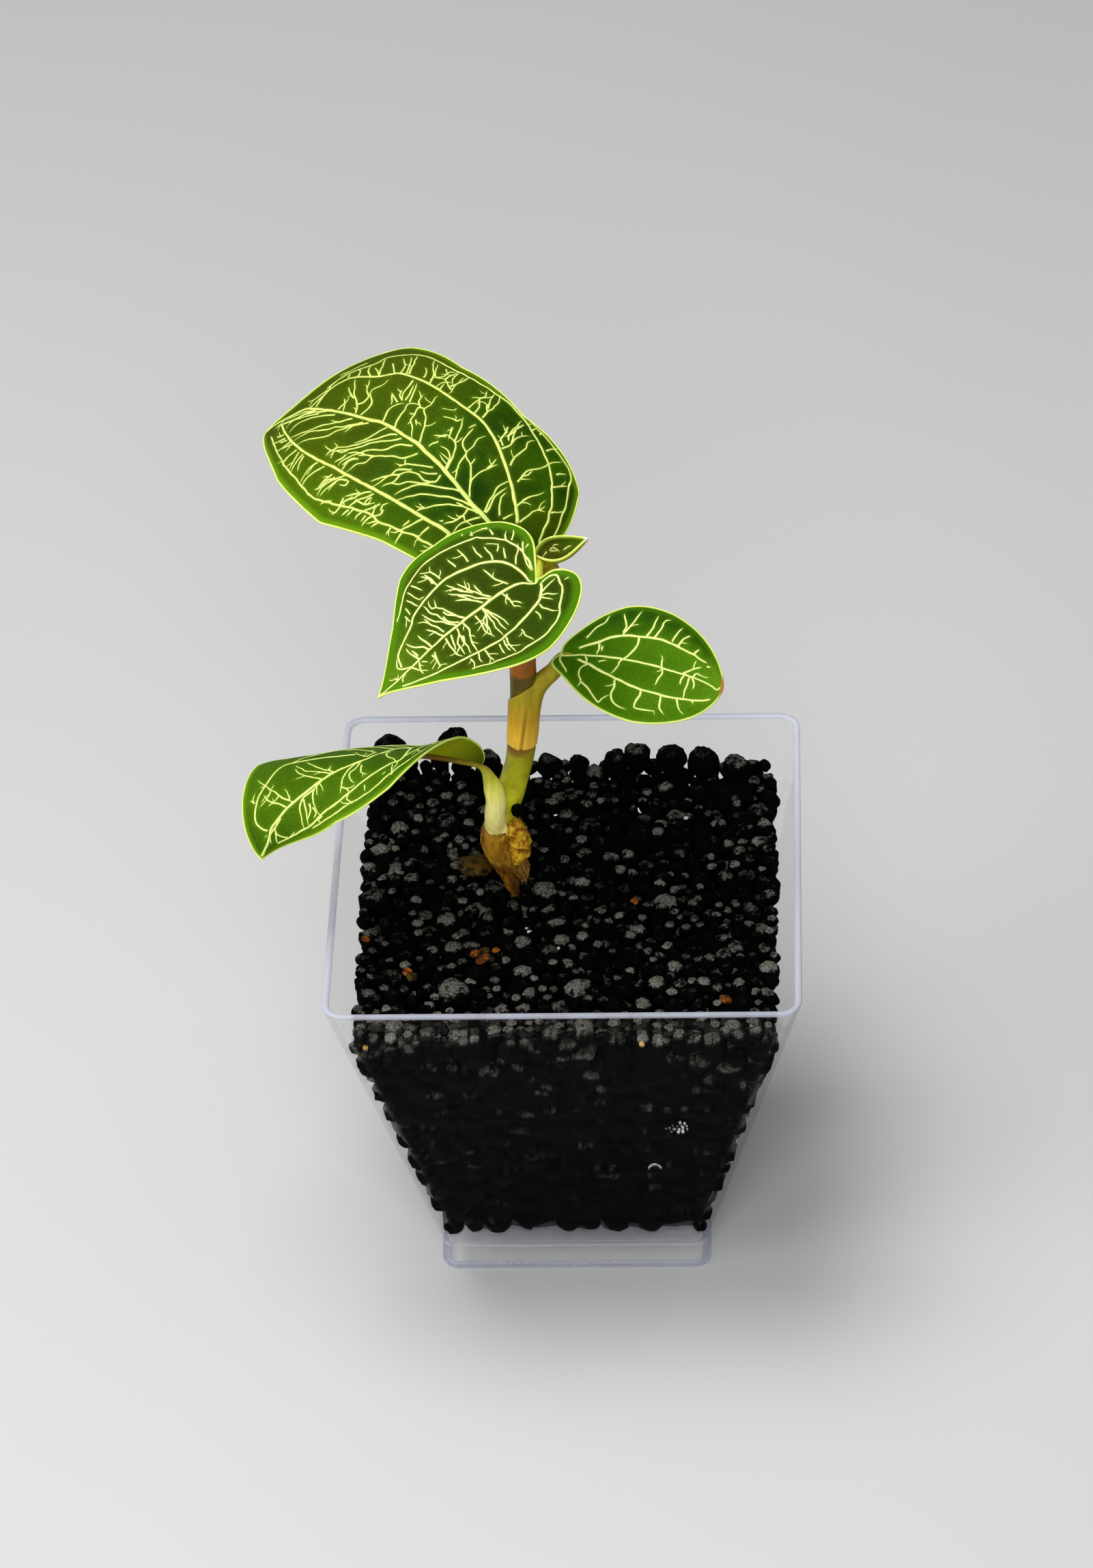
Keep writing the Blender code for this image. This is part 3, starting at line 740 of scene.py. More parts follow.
# the stem: heights in metres, places round the pot's axis
stem = {
    "route": [(-0.0062, 0.0032, 0.0240), (-0.0068, 0.0032, 0.0360), (-0.0073, 0.0030, 0.0478),
              (-0.0077, 0.0030, 0.0508), (-0.0085, 0.0032, 0.0545), (-0.0087, 0.0032, 0.0575),
              (-0.0064, 0.0032, 0.0660), (-0.0053, 0.0032, 0.0712), (-0.0047, 0.0032, 0.0800),
              (-0.0046, 0.0032, 0.0860), (-0.0038, 0.0032, 0.0920), (-0.0026, 0.0032, 0.0974)],
    "radii": [(0.0240, 0.0008), (0.0440, 0.0008), (0.0478, 0.0008), (0.0492, 0.0011), (0.0512, 0.0013),
              (0.0530, 0.00185), (0.0550, 0.0020), (0.0580, 0.00205), (0.0588, 0.0018), (0.0600, 0.0017),
              (0.0640, 0.00182), (0.0690, 0.00175), (0.0708, 0.00180), (0.0713, 0.00184), (0.0718, 0.00172),
              (0.0820, 0.00170), (0.0860, 0.0017), (0.0880, 0.0016), (0.0920, 0.0014), (0.0980, 0.0012)],
    "spacing": 0.0003, "lineSpacing": 0.0004,
    "wrinkles": 0.00030, "wrinkledBelow": 0.0578, "smoothShare": 0.12, "fineness": (900, 900, 420),
    "colours": [                         # height above the floor and colour
        (0.0450, (0.090, 0.036, 0.004)), (0.0500, (0.26, 0.12, 0.006)), (0.0560, (0.38, 0.20, 0.008)),
        (0.0582, (0.30, 0.15, 0.006)), (0.0590, (0.48, 0.45, 0.018)), (0.0625, (0.62, 0.63, 0.024)),
        (0.0665, (0.52, 0.55, 0.018)), (0.0707, (0.38, 0.38, 0.012)), (0.0716, (0.24, 0.135, 0.005)),
        (0.0720, (0.22, 0.095, 0.004)), (0.0795, (0.10, 0.080, 0.004)), (0.0833, (0.12, 0.085, 0.004)),
        (0.0838, (0.34, 0.115, 0.006)), (0.0872, (0.38, 0.130, 0.007)), (0.0915, (0.34, 0.32, 0.03)),
        (0.0975, (0.46, 0.47, 0.06))],
}
stemLine = smoothRoute(stem["route"], stem["lineSpacing"])


def stemAt(height):
    # the stem's middle at a height
    for a, b in zip(stemLine, stemLine[1:]):
        if height <= b.z:
            return a.lerp(b, max(0, (height - a.z) / (b.z - a.z)))
    return stemLine[-1]


def stemRadius(height):
    return between(height, stem["radii"])


def stemMaterial():
    material, tree, shader = newMaterial("stem_skin", gloss=plantGloss)
    colour = heightRamp(tree, 0.044, 0.100, stem["colours"])
    fibres = noiseOf(tree, objectPlace(tree, (1, 1, 0.12)), 1900, 3)
    blotches = noiseOf(tree, objectPlace(tree), 600, 4)
    colour = mixOf(tree, times(tree, fibres, 0.45), colour, (0.32, 0.27, 0.05), "SOFT_LIGHT")
    shade = mixOf(tree, spread(tree, blotches, 0.35, 0.7), (0.74, 0.70, 0.66), (1.15, 1.12, 1.05))
    dress(tree, shader, Base_Color=mixOf(tree, 1.0, colour, shade, "MULTIPLY"),
          Roughness=spread(tree, blotches, 0.3, 0.8, 0.34, 0.60))
    bumpOn(tree, shader, fibres, 0.35, 0.0002)
    return material


def makeStem():
    low, high = stem["route"][0][2], stem["route"][-1][2]
    heights = evenly(low, high, round((high - low) / stem["spacing"]))
    piece = drawLines("stem", [[(stemAt(z), stemRadius(z)) for z in heights]], 10)
    closeUp(piece)
    for vert in piece.data.vertices:
        axis = stemAt(vert.co.z)
        out = Vector((vert.co.x - axis.x, vert.co.y - axis.y, 0))
        if out.length > 1e-5:
            depth = stem["wrinkles"] * (1 if vert.co.z < stem["wrinkledBelow"] else stem["smoothShare"])
            rough = rugged(*(value * scale for value, scale in zip(vert.co, stem["fineness"])))
            vert.co = vert.co + out.normalized() * rough * depth
    shift(piece)
    piece.data.shade_smooth()
    finishPiece(piece, "stem_skin", stemMaterial(), "stem_skin", "stem")


# torn papery remains round the foot of the stem: the middle of each as an angle from +X, its width
# as an angle, top and bottom heights, and how far its torn end stands off
shreds = {
    "seed": 11,
    "strips": [(-120, 104, 0.0586, 0.0512, 0.0001), (-66, 58, 0.0566, 0.0488, 0.0003),
               (-34, 84, 0.0556, 0.0511, 0.0016), (150, 96, 0.0584, 0.0508, 0.0003),
               (70, 84, 0.0570, 0.0500, 0.0005)],
    "grid": (26, 30), "gap": 0.00010, "thickness": 0.00014, "tear": 0.0016, "crumple": 0.00022,
    "scallop": 0.0012, "narrowing": 0.45,              # the ends are rounded and narrower
    "lowestFit": 0.0512,                 # below this height they don't follow the narrow buried stem
    "dark": (0.15, 0.050, 0.002), "light": (0.37, 0.185, 0.004), "pale": (0.52, 0.34, 0.02),
    # painted shade: the remains darken towards the bed
    "paintedBedShade": [(0.0500, (0.34, 0.26, 0.50)), (0.0525, (0.56, 0.46, 0.80)), (0.0548, (1.0, 1.0, 1.0))],
}


def shredMaterial():
    material, tree, shader = newMaterial("papery_sheath", 0.6, plantGloss)
    fibres = noiseOf(tree, objectPlace(tree, (1, 1, 0.25)), 1500, 4, 0.65)
    blotches = noiseOf(tree, objectPlace(tree), 700, 3)
    colour = mixOf(tree, spread(tree, fibres, 0.36, 0.64), shreds["dark"], shreds["light"])
    colour = mixOf(tree, spread(tree, blotches, 0.54, 0.68), colour, shreds["pale"])
    # painted shade, darker towards the bed
    paintedBedShade = heightRamp(tree, 0.048, 0.060, shreds["paintedBedShade"])
    dress(tree, shader, Base_Color=mixOf(tree, 1.0, colour, paintedBedShade, "MULTIPLY"))
    bumpOn(tree, shader, fibres, 0.6, 0.0002)
    return material


def makeShreds():
    draw = random.Random(shreds["seed"])
    material = shredMaterial()
    columns, rows = shreds["grid"]
    for number, (middle, width, top, bottom, flare) in enumerate(shreds["strips"]):
        bpy.ops.mesh.primitive_grid_add(x_subdivisions=columns, y_subdivisions=rows, size=2)
        strip = bpy.context.object
        seed = draw.uniform(0, 100)
        for vert in strip.data.vertices:
            across, down = vert.co.x, (1 - vert.co.y) / 2
            tear = noise.fractal(Vector((across * 2.6, seed, 0)), 0.7, 2.3, 4) * shreds["tear"]
            z = top + (bottom + tear + abs(across) ** 3 * shreds["scallop"] - top) * down
            narrow = 1 - shreds["narrowing"] * down * down
            turn = math.radians(middle + across * width / 2 * narrow)
            rough = rugged(across * 3, down * 3, seed) * shreds["crumple"]
            out = stemRadius(max(z, shreds["lowestFit"])) + shreds["gap"] + rough + flare * down**2
            vert.co = stemAt(z) + Vector((math.cos(turn), math.sin(turn), 0)) * out
        addModifier(strip, "SOLIDIFY", thickness=shreds["thickness"], offset=0)
        strip.data.shade_smooth()
        shift(strip)
        closeUp(strip)
        finishPiece(strip, "stem_shred_" + str(number + 1), material, "stem_skin", "stem")


# the roots, each with its coat of short hairs
roots = {
    "root_aerial": {"knots": [(-0.0068, 0.0020, 0.0600), (-0.0062, 0.0015, 0.0590), (-0.0059, 0.0011, 0.0570),
                              (-0.0064, 0.0013, 0.0538)], "hairs": 1700, "hairLength": 0.00036, "swells": True},
    "root_front": {"knots": [(-0.0072, 0.00155, 0.0400), (-0.0070, -0.0050, 0.0375), (-0.0040, -0.0120, 0.0280),
                             (-0.0010, -0.0140, 0.0160)]},
    "root_right": {"knots": [(-0.0052, 0.0034, 0.0370), (0.0020, 0.0052, 0.0345), (0.0100, 0.0078, 0.0250),
                             (0.0120, 0.0090, 0.0130)]},
    "root_back": {"knots": [(-0.0066, 0.00485, 0.0310), (-0.0074, 0.0100, 0.0285), (-0.0095, 0.0140, 0.0200),
                            (-0.0070, 0.0130, 0.0110)]},
}
wool = {
    "seed": 5, "radius": 0.0013, "hairs": 500, "hairLength": 0.0007, "spacing": 0.0002,
    "taper": 0.45,                       # the share of its radius that a root loses by its tip
    "swelling": [(0.0, 0.62), (0.25, 0.90), (0.5, 1.06), (0.75, 0.95), (1.0, 0.45)],      # of the spongy one
    "lumps": [(700, 0.00045), (2300, 0.00034)],        # fineness and depth
    "hairShapes": 6, "width": 0.09, "tipWidth": 0.15,  # shares of a hair's length and width
    "lean": 0.25, "curl": (0.2, 0.7), "shortening": 0.35,
    "along": (-1.6, 2.2), "lengths": (0.5, 1.35),      # how far hairs lean along the root, and their spread
    "rooted": 0.85,                      # they start this far out, as a share of the root's radius
    "colours": [(0.34, (0.09, 0.024, 0.002)), (0.45, (0.33, 0.13, 0.004)), (0.54, (0.58, 0.33, 0.010)),
                (0.68, (0.78, 0.54, 0.05))],
}


def rootMaterial():
    material, tree, shader = newMaterial("woolly_root", 0.75, 0.2)
    clumps = noiseOf(tree, objectPlace(tree), 1100, 4, 0.65)
    dress(tree, shader, Base_Color=rampOf(tree, clumps, wool["colours"]))
    bumpOn(tree, shader, clumps, 0.6, 0.0003)
    return material


def makeHairShapes(draw):
    # thin spikes of unit length along +Z, each bent its own way
    shapes = []
    for _ in range(wool["hairShapes"]):
        bpy.ops.mesh.primitive_cone_add(vertices=3, radius1=wool["width"], depth=1, end_fill_type="NGON",
                                        radius2=wool["width"] * wool["tipWidth"], location=(0, 0, 0.5))
        hair = bpy.context.object
        bpy.ops.object.transform_apply(location=True, rotation=True, scale=True)
        for height in (0.35, 0.7):
            editAll(hair, ("bisect", {"plane_co": (0, 0, height), "plane_no": (0, 0, 1)}))
        lean, curl = draw.uniform(-wool["lean"], wool["lean"]), draw.uniform(*wool["curl"])
        for vert in hair.data.vertices:
            z = vert.co.z
            vert.co.x += lean * z + curl * z * z
            vert.co.z = z * (1 - wool["shortening"] * curl * z)
        hair.data.shade_smooth()
        shapes.append(hair)
    return shapes


def makeRoots():
    draw = random.Random(wool["seed"])
    material = rootMaterial()
    shapes = makeHairShapes(draw)
    for name, root in roots.items():
        route = smoothRoute(root["knots"], wool["spacing"])
        last = len(route) - 1
        radii = [wool["radius"] * (1 - wool["taper"] * (i / last) ** 2) for i in range(last + 1)]
        if "swells" in root:             # a spongy swelling, thickest halfway down
            radii = [wool["radius"] * between(i / last, wool["swelling"]) for i in range(last + 1)]
        core = drawLines(name + "_core", [list(zip(route, radii))], 9)
        closeUp(core)
        for vert in core.data.vertices:
            smooth = vert.co.copy()
            for fineness, depth in wool["lumps"]:
                vert.co = vert.co + noise.noise_vector(smooth * fineness) * depth
        core.data.shade_smooth()
        placings = []
        for _ in range(root.get("hairs", wool["hairs"])):
            i = draw.randrange(1, last)
            ahead = (route[i + 1] - route[i - 1]).normalized()
            side = ahead.orthogonal().normalized()
            side.rotate(Matrix.Rotation(draw.uniform(0, 2 * math.pi), 3, ahead))
            way = (side + ahead * draw.uniform(*wool["along"])).normalized()
            turn = way.to_track_quat("Z", "Y").to_matrix().to_4x4()
            twist = Matrix.Rotation(draw.uniform(0, 2 * math.pi), 4, "Z")
            length = root.get("hairLength", wool["hairLength"]) * draw.uniform(*wool["lengths"])
            place = Matrix.Translation(route[i] + side * radii[i] * wool["rooted"])
            placings.append((draw.randrange(len(shapes)), place @ turn @ twist @ Matrix.Scale(length, 4), 0.0))
        coat = scatter(name + "_wool", shapes, placings)
        onlySelect(core)
        coat.select_set(True)
        bpy.ops.object.join()
        shift(core)
        finishPiece(core, name + "_woolly", material, "root_wool", name)
    removeAll(shapes)


# the veins of each leaf as drawn lines: thousandths of the length along, and of the half-width across
topVeins = {
    "midrib": [[(0, 0), (152, -30), (180, -45), (212, -45), (340, 10), (380, 15), (418, 30), (458, 25),
        (538, 30), (580, 5), (628, 0), (720, 5), (770, 20), (815, 40), (862, 0), (902, -25), (990, 0)]],
    "laterals": [[(182, -530), (218, -530), (255, -550), (335, -570), (442, -555), (530, -540), (575, -540),
        (620, -550), (670, -550), (725, -535), (770, -500), (815, -435), (860, -310), (900, -110)], [(95, 245),
        (128, 285), (198, 385), (258, 480), (288, 535), (322, 585), (358, 600), (452, 580), (530, 595),
        (605, 555), (628, 510), (652, 445), (688, 415), (725, 395), (748, 355), (763, 290), (772, 215),
        (775, 45)]],
    "outer": [[(202, -760), (230, -780), (255, -780), (290, -810), (320, -825), (352, -825), (382, -800),
        (413, -790), (490, -810), (535, -830), (585, -865), (648, -860), (742, -810), (790, -780), (845, -690),
        (888, -580), (928, -385)], [(32, 620), (60, 605), (88, 645), (122, 675), (182, 780), (245, 860),
        (310, 965), (342, 980), (370, 970), (400, 945), (498, 915), (530, 910), (565, 895), (598, 895),
        (630, 880), (655, 845), (675, 795), (698, 725), (705, 610), (725, 545), (750, 485), (768, 400),
        (780, 295)], [(45, 820), (95, 845), (145, 930), (173, 970), (275, 975), (302, 995)]],
    "branches": [
        [(162, 10), (175, 90), (182, 155), (195, 230), (198, 290), (192, 385)], [(158, 10), (165, 90),
        (178, 175), (182, 240), (185, 320)], [(132, 100), (155, 160), (170, 220), (173, 285)], [(120, 120),
        (122, 185), (122, 240)], [(215, -10), (242, 80), (250, 190), (248, 285), (242, 390)], [(248, 285),
        (255, 420)], [(242, 80), (278, 190), (310, 255), (315, 360), (322, 450), (315, 545)], [(310, 255),
        (332, 290), (342, 345), (348, 430), (352, 485)], [(310, 250), (302, 155), (290, 80), (275, 5)],
        [(312, 0), (320, 105), (335, 205), (352, 260), (382, 255), (392, 175)], [(315, 20), (322, 80),
        (330, 125), (348, 165), (370, 140)], [(352, 260), (362, 335), (375, 425), (390, 495)], [(388, 470),
        (392, 425), (405, 415), (425, 370)], [(382, 165), (388, 120), (390, 65)], [(385, 350), (375, 285),
        (368, 240)], [(415, 45), (430, 145), (450, 260), (475, 335), (470, 400), (480, 490), (475, 540)],
        [(475, 335), (490, 315), (482, 245), (480, 185), (460, 125), (440, 40)], [(468, 210), (455, 160)],
        [(485, 330), (500, 365), (510, 460)], [(500, 35), (508, 120), (512, 215), (518, 295), (503, 340),
        (485, 335)], [(540, 40), (548, 130), (548, 200), (528, 290)], [(545, 265), (565, 300), (580, 330)],
        [(540, 300), (558, 350), (562, 400)], [(532, 320), (542, 425), (550, 505)], [(520, 330), (535, 445),
        (548, 535)], [(628, 25), (642, 105), (670, 185), (692, 290), (712, 375)], [(665, 160), (692, 210),
        (708, 270)], [(642, 105), (630, 140), (628, 210), (648, 275), (668, 390)], [(612, 20), (602, 100),
        (605, 165), (625, 225), (633, 290), (620, 365), (618, 455)], [(690, 20), (685, 65), (680, 105),
        (682, 165)], [(672, 20), (678, 80), (695, 145)], [(135, 310), (140, 430), (138, 630)], [(98, 270),
        (105, 415), (108, 505), (112, 590)], [(108, 505), (100, 605)], [(185, 430), (190, 505), (195, 575),
        (192, 665), (192, 785), (188, 950)], [(190, 505), (188, 555), (192, 615)], [(225, 470), (240, 595),
        (245, 710), (255, 775), (252, 870)], [(270, 525), (268, 610), (275, 705), (275, 770), (265, 840)],
        [(275, 555), (292, 605), (302, 725)], [(280, 640), (292, 700), (302, 830), (308, 935)], [(270, 635),
        (288, 745), (300, 860)], [(360, 635), (368, 720), (368, 795), (380, 900), (392, 975)], [(368, 720),
        (385, 770), (398, 755), (400, 700)], [(375, 740), (390, 830), (402, 935)], [(382, 605), (392, 710),
        (410, 770), (422, 710)], [(410, 770), (405, 830), (420, 900)], [(470, 655), (490, 690), (510, 735),
        (530, 705), (552, 775), (568, 865)], [(510, 735), (510, 830), (510, 905)], [(482, 690), (478, 775),
        (485, 880)], [(490, 600), (500, 690)], [(525, 610), (542, 720), (565, 790), (588, 900)], [(552, 625),
        (560, 695), (578, 745)], [(588, 590), (602, 665), (622, 790), (635, 855)], [(595, 570), (612, 675),
        (642, 815)], [(610, 550), (620, 650), (655, 765)], [(620, 535), (642, 590)], [(655, 455), (675, 585),
        (698, 715)], [(660, 470), (690, 550)], [(675, 430), (698, 500), (708, 585)], [(708, 410), (720, 480),
        (738, 540)], [(738, 410), (748, 480)], [(222, 860), (218, 995)], [(143, 720), (138, 890)], [(95, 680),
        (95, 840)], [(165, 820), (162, 925)], [(168, -60), (202, -135), (235, -240), (262, -360), (278, -455),
        (288, -525)], [(195, -125), (192, -230), (202, -370), (218, -480)], [(192, -230), (175, -275)],
        [(195, -55), (222, -115), (248, -175), (272, -245), (300, -325), (325, -415), (345, -515), (362, -585)],
        [(235, -25), (265, -105), (292, -185), (318, -245), (342, -335), (358, -425), (368, -525)], [(312, -70),
        (310, -160), (335, -230), (355, -210), (382, -250), (395, -315), (413, -365), (425, -465), (435, -560)],
        [(320, -80), (338, -150), (360, -185)], [(312, -170), (328, -260), (360, -320), (378, -395),
        (402, -445), (415, -515)], [(395, -315), (392, -395), (402, -445)], [(340, -60), (372, -135),
        (402, -195), (413, -260)], [(402, -205), (415, -150)], [(398, -40), (415, -145), (455, -220),
        (490, -285), (500, -365), (522, -435), (535, -530)], [(425, -15), (450, -60), (468, -135), (488, -210),
        (520, -260), (535, -325), (555, -390), (570, -470), (570, -520)], [(462, -10), (482, -80), (505, -140),
        (528, -200), (548, -275), (572, -335), (602, -390), (622, -475)], [(478, 0), (500, -40), (515, -120),
        (538, -185), (558, -265), (590, -335), (622, -380)], [(518, 5), (530, -65), (542, -165), (570, -260)],
        [(572, -335), (588, -385), (612, -405)], [(572, -30), (600, -85), (625, -155), (650, -220), (668, -300),
        (708, -365), (745, -425), (765, -500)], [(588, -40), (622, -125), (658, -185), (695, -250), (732, -290),
        (765, -375), (790, -460)], [(628, -35), (652, -100), (680, -155), (712, -205), (742, -280), (780, -355),
        (810, -420)], [(688, -45), (720, -75), (758, -105), (792, -160), (818, -240), (832, -365)], [(725, -15),
        (763, -25), (800, -50), (832, -105), (852, -195), (855, -295)], [(768, 0), (808, -5), (848, -40),
        (880, -85)], [(530, -545), (558, -640), (580, -740), (585, -845)], [(515, -575), (535, -600),
        (552, -665), (565, -760), (575, -835)], [(512, -575), (510, -620), (530, -645)], [(615, -575),
        (635, -650), (650, -725), (662, -800), (662, -855)], [(645, -575), (660, -635), (672, -720),
        (675, -840)], [(720, -560), (730, -645), (738, -730), (740, -805)], [(712, -580), (715, -680),
        (710, -750)], [(778, -480), (815, -570), (828, -620)], [(822, -465), (860, -530)], [(852, -375),
        (885, -460)], [(428, -595), (448, -630), (460, -700), (485, -740)], [(420, -600), (432, -660),
        (450, -715), (455, -770)], [(450, -715), (425, -730), (415, -705), (415, -655)], [(370, -725),
        (378, -660), (365, -615)], [(385, -655), (390, -710), (382, -795)], [(265, -575), (278, -685),
        (290, -765), (302, -850), (318, -880)], [(240, -600), (245, -710), (245, -795)], [(288, -810),
        (285, -900), (283, -970)], [(318, -835), (318, -930)], [(290, -670), (295, -765)], [(252, -755),
        (240, -810)], [(413, -790), (420, -845), (418, -895)], [(442, -800), (450, -880)], [(482, -800),
        (490, -870), (500, -905)], [(382, -805), (390, -860), (392, -925)], [(352, -825), (362, -870),
        (365, -905)], [(490, -740), (490, -805)], [(749, -44), (789, -84), (824, -108), (859, -148),
        (899, -156)], [(771, -12), (806, -44), (833, -100), (864, -132), (894, -148)], [(800, -470),
        (818, -540), (838, -620), (856, -660)], [(835, -440), (862, -495), (888, -550), (905, -590)],
        [(754, -548), (771, -620), (789, -692), (800, -756)], [(740, -564), (745, -660), (754, -796)],
        [(572, -600), (588, -690), (598, -800)], [(608, -364), (626, -436), (630, -484)], [(735, 640),
        (757, 540), (772, 450)], [(768, 400), (775, 330), (770, 250)], [(775, 268), (790, 196), (803, 140),
        (805, 68)], [(775, 190), (790, 90), (808, 30)], [(660, 650), (640, 590), (628, 545)], [(892, -60),
        (905, -140), (925, -190)], [(262, 940), (266, 990)], [(277, 915), (276, 985)], [(296, 925), (290, 990)],
        [(297, 900), (295, 770), (290, 700), (294, 640)], [(310, 760), (301, 690), (295, 635), (289, 545)],
        [(355, 525), (359, 450)], [(418, 522), (418, 485)], [(378, 245), (392, 215), (404, 178)], [(403, 604),
        (405, 690), (407, 775), (400, 840), (399, 905)], [(475, 900), (477, 800), (475, 720), (466, 640),
        (464, 604)], [(504, 895), (501, 818), (492, 752), (483, 714)], [(492, 730), (504, 692), (504, 604)],
        [(516, 879), (525, 835), (519, 769), (531, 692), (533, 637)], [(537, 857), (525, 818)], [(484, 250),
        (490, 228), (498, 235)], [(563, 545), (556, 455), (552, 370), (535, 300)], [(576, 323), (564, 274),
        (555, 213)], [(158, -80), (170, -200), (180, -290), (186, -400), (186, -510)], [(222, -440),
        (230, -480)], [(282, -455), (293, -535)], [(208, -140), (230, -180)], [(378, -210), (403, -270),
        (411, -315), (414, -365), (428, -410), (450, -510)], [(490, -280), (515, -310), (535, -345)],
        [(519, -300), (546, -328), (571, -382)], [(527, -370), (541, -400), (549, -450), (552, -525)],
        [(538, -380), (549, -420), (560, -490)], [(571, -390), (574, -440), (590, -500)], [(417, -632),
        (424, -670), (424, -710), (412, -722)], [(455, -635), (466, -670), (494, -725)], [(450, -705),
        (461, -790)], [(466, -700), (482, -760), (490, -810)], [(392, -680), (403, -750), (414, -785)],
        [(368, -700), (366, -750), (378, -792), (390, -760)], [(557, -610), (579, -690), (593, -795)],
        [(521, -805), (543, -830), (554, -880)], [(398, -815), (400, -890)], [(362, -830), (384, -880)],
        [(453, -825), (466, -890)], [(206, -760), (213, -850), (224, -900)], [(189, -525), (193, -600),
        (199, -710), (202, -775)]],
}
middleVeins = {
    "midrib": [[(0, 0), (60, -240), (78, -90), (110, -20), (240, 20), (335, 10), (380, 15), (475, 10),
        (570, 10), (622, -10), (670, -20), (722, -50), (772, -90), (870, -195), (920, -295), (962, -460),
        (990, 0)]],
    "laterals": [[(40, -110), (48, 130), (70, 255), (98, 330), (128, 390), (158, 430), (190, 455), (225, 475),
        (265, 490), (305, 515), (345, 530), (380, 535), (495, 520), (530, 520), (568, 540), (612, 545),
        (652, 515), (770, 520), (800, 420), (815, 160)], [(68, -390), (105, -455), (140, -490), (173, -505),
        (285, -495), (328, -500), (372, -515), (422, -540), (552, -575), (598, -600), (682, -665), (728, -720),
        (822, -765), (870, -775)]],
    "outer": [[(20, 465), (40, 555), (60, 630), (82, 690), (100, 715), (122, 735), (178, 805), (202, 825),
        (300, 860), (380, 855), (422, 860), (470, 845), (518, 845), (560, 855), (605, 845), (678, 865)],
        [(60, -415), (38, -545), (35, -700), (55, -725), (88, -740), (180, -815), (212, -840), (248, -845),
        (285, -840), (322, -815), (362, -815), (405, -830), (515, -840), (550, -835), (585, -840)]],
    "branches": [
        [(300, 590), (302, 650), (305, 700), (308, 740)], [(250, 555), (248, 640), (255, 715), (260, 765)],
        [(198, 535), (205, 620), (208, 680), (212, 725)], [(162, 460), (165, 545), (168, 610), (175, 675)],
        [(138, 555), (132, 620), (132, 670)], [(115, 445), (115, 550), (118, 615)], [(82, 350), (80, 480),
        (75, 595), (80, 690)], [(25, 400), (42, 505), (55, 565), (72, 605)], [(62, 810), (60, 695), (55, 585)],
        [(48, 830), (55, 710)], [(108, 745), (108, 825), (105, 910)], [(95, 735), (92, 830), (95, 915)],
        [(145, 805), (148, 865), (150, 910)], [(150, 930), (165, 945)], [(198, 865), (195, 935)], [(222, 915),
        (222, 945)], [(415, 545), (420, 635), (430, 705), (445, 770)], [(415, 585), (418, 670), (425, 760)],
        [(385, 575), (390, 670), (395, 745)], [(425, 590), (415, 700)], [(503, 800), (490, 705), (485, 630)],
        [(538, 800), (530, 675), (520, 575)], [(565, 770), (558, 650), (545, 545)], [(602, 750), (608, 620)],
        [(633, 700), (628, 545)], [(145, 55), (162, 125), (182, 185), (198, 260), (205, 325), (212, 380)],
        [(255, 40), (283, 135), (305, 230), (328, 320), (338, 410)], [(283, 135), (283, 200), (283, 275)],
        [(312, 205), (350, 305), (370, 400), (385, 470)], [(262, 30), (305, 120), (342, 220), (375, 305),
        (405, 365)], [(305, 40), (335, 135), (368, 200), (402, 260)], [(340, 150), (358, 225), (375, 280)],
        [(338, 290), (358, 360), (390, 375)], [(422, 20), (440, 100), (455, 190), (473, 275), (488, 340),
        (473, 435)], [(442, 95), (470, 175), (482, 255)], [(458, 25), (485, 85), (503, 170), (515, 275),
        (530, 350), (530, 490)], [(478, 20), (503, 95), (522, 170), (545, 255), (560, 365), (565, 445)],
        [(495, 85), (498, 210)], [(490, 340), (508, 370), (510, 455)], [(542, 55), (552, 145), (565, 230),
        (570, 305), (575, 395)], [(560, 10), (572, 85), (585, 170), (602, 260)], [(635, -10), (642, 90),
        (652, 210), (652, 325)], [(658, -10), (665, 80), (688, 160), (710, 310), (718, 450)], [(722, -65),
        (732, 55), (740, 235), (735, 375)], [(718, 55), (725, 250)], [(770, -100), (800, 5), (825, 130),
        (830, 280), (810, 485)], [(735, -105), (750, -305), (758, -555)], [(775, -115), (760, -395)],
        [(822, -145), (845, -265), (852, -490)], [(870, -170), (872, 90)], [(320, 5), (340, -105), (365, -200),
        (388, -315), (410, -425)], [(340, -110), (375, -160), (395, -305)], [(320, -25), (322, -155),
        (330, -270), (340, -375), (338, -460)], [(318, -65), (312, -180), (310, -290), (315, -410)],
        [(328, -70), (348, -250), (365, -375), (375, -490)], [(378, -25), (390, -170), (408, -305),
        (402, -450)], [(202, -10), (205, -125), (218, -205), (230, -285)], [(215, -195), (198, -250),
        (195, -340)], [(188, -55), (210, -155)], [(448, -15), (455, -165), (480, -280), (498, -420),
        (510, -550)], [(485, -20), (500, -115), (532, -210), (548, -330), (560, -505)], [(503, -120),
        (510, -240), (522, -395), (535, -525)], [(532, -55), (550, -200), (572, -345)], [(562, -40),
        (575, -245), (582, -435), (570, -525)], [(548, -330), (578, -405)], [(495, -180), (515, -300),
        (542, -350)], [(645, -135), (665, -310), (675, -560)], [(668, -160), (668, -375)], [(725, -155),
        (705, -265)], [(140, -495), (130, -560), (128, -660), (125, -750)], [(143, -520), (150, -670)],
        [(178, -535), (188, -635), (190, -740), (182, -815)], [(208, -555), (218, -625), (232, -670)],
        [(120, -485), (85, -555), (60, -705)], [(305, -570), (318, -665), (318, -780)], [(370, -535),
        (390, -650), (402, -800)], [(420, -580), (432, -685), (435, -755)], [(390, -555), (405, -655),
        (410, -755)], [(512, -580), (530, -695), (532, -775)], [(480, -575), (492, -695), (492, -820)],
        [(558, -630), (560, -740), (578, -845)], [(68, -865), (75, -770)], [(30, -885), (28, -985)]],
}
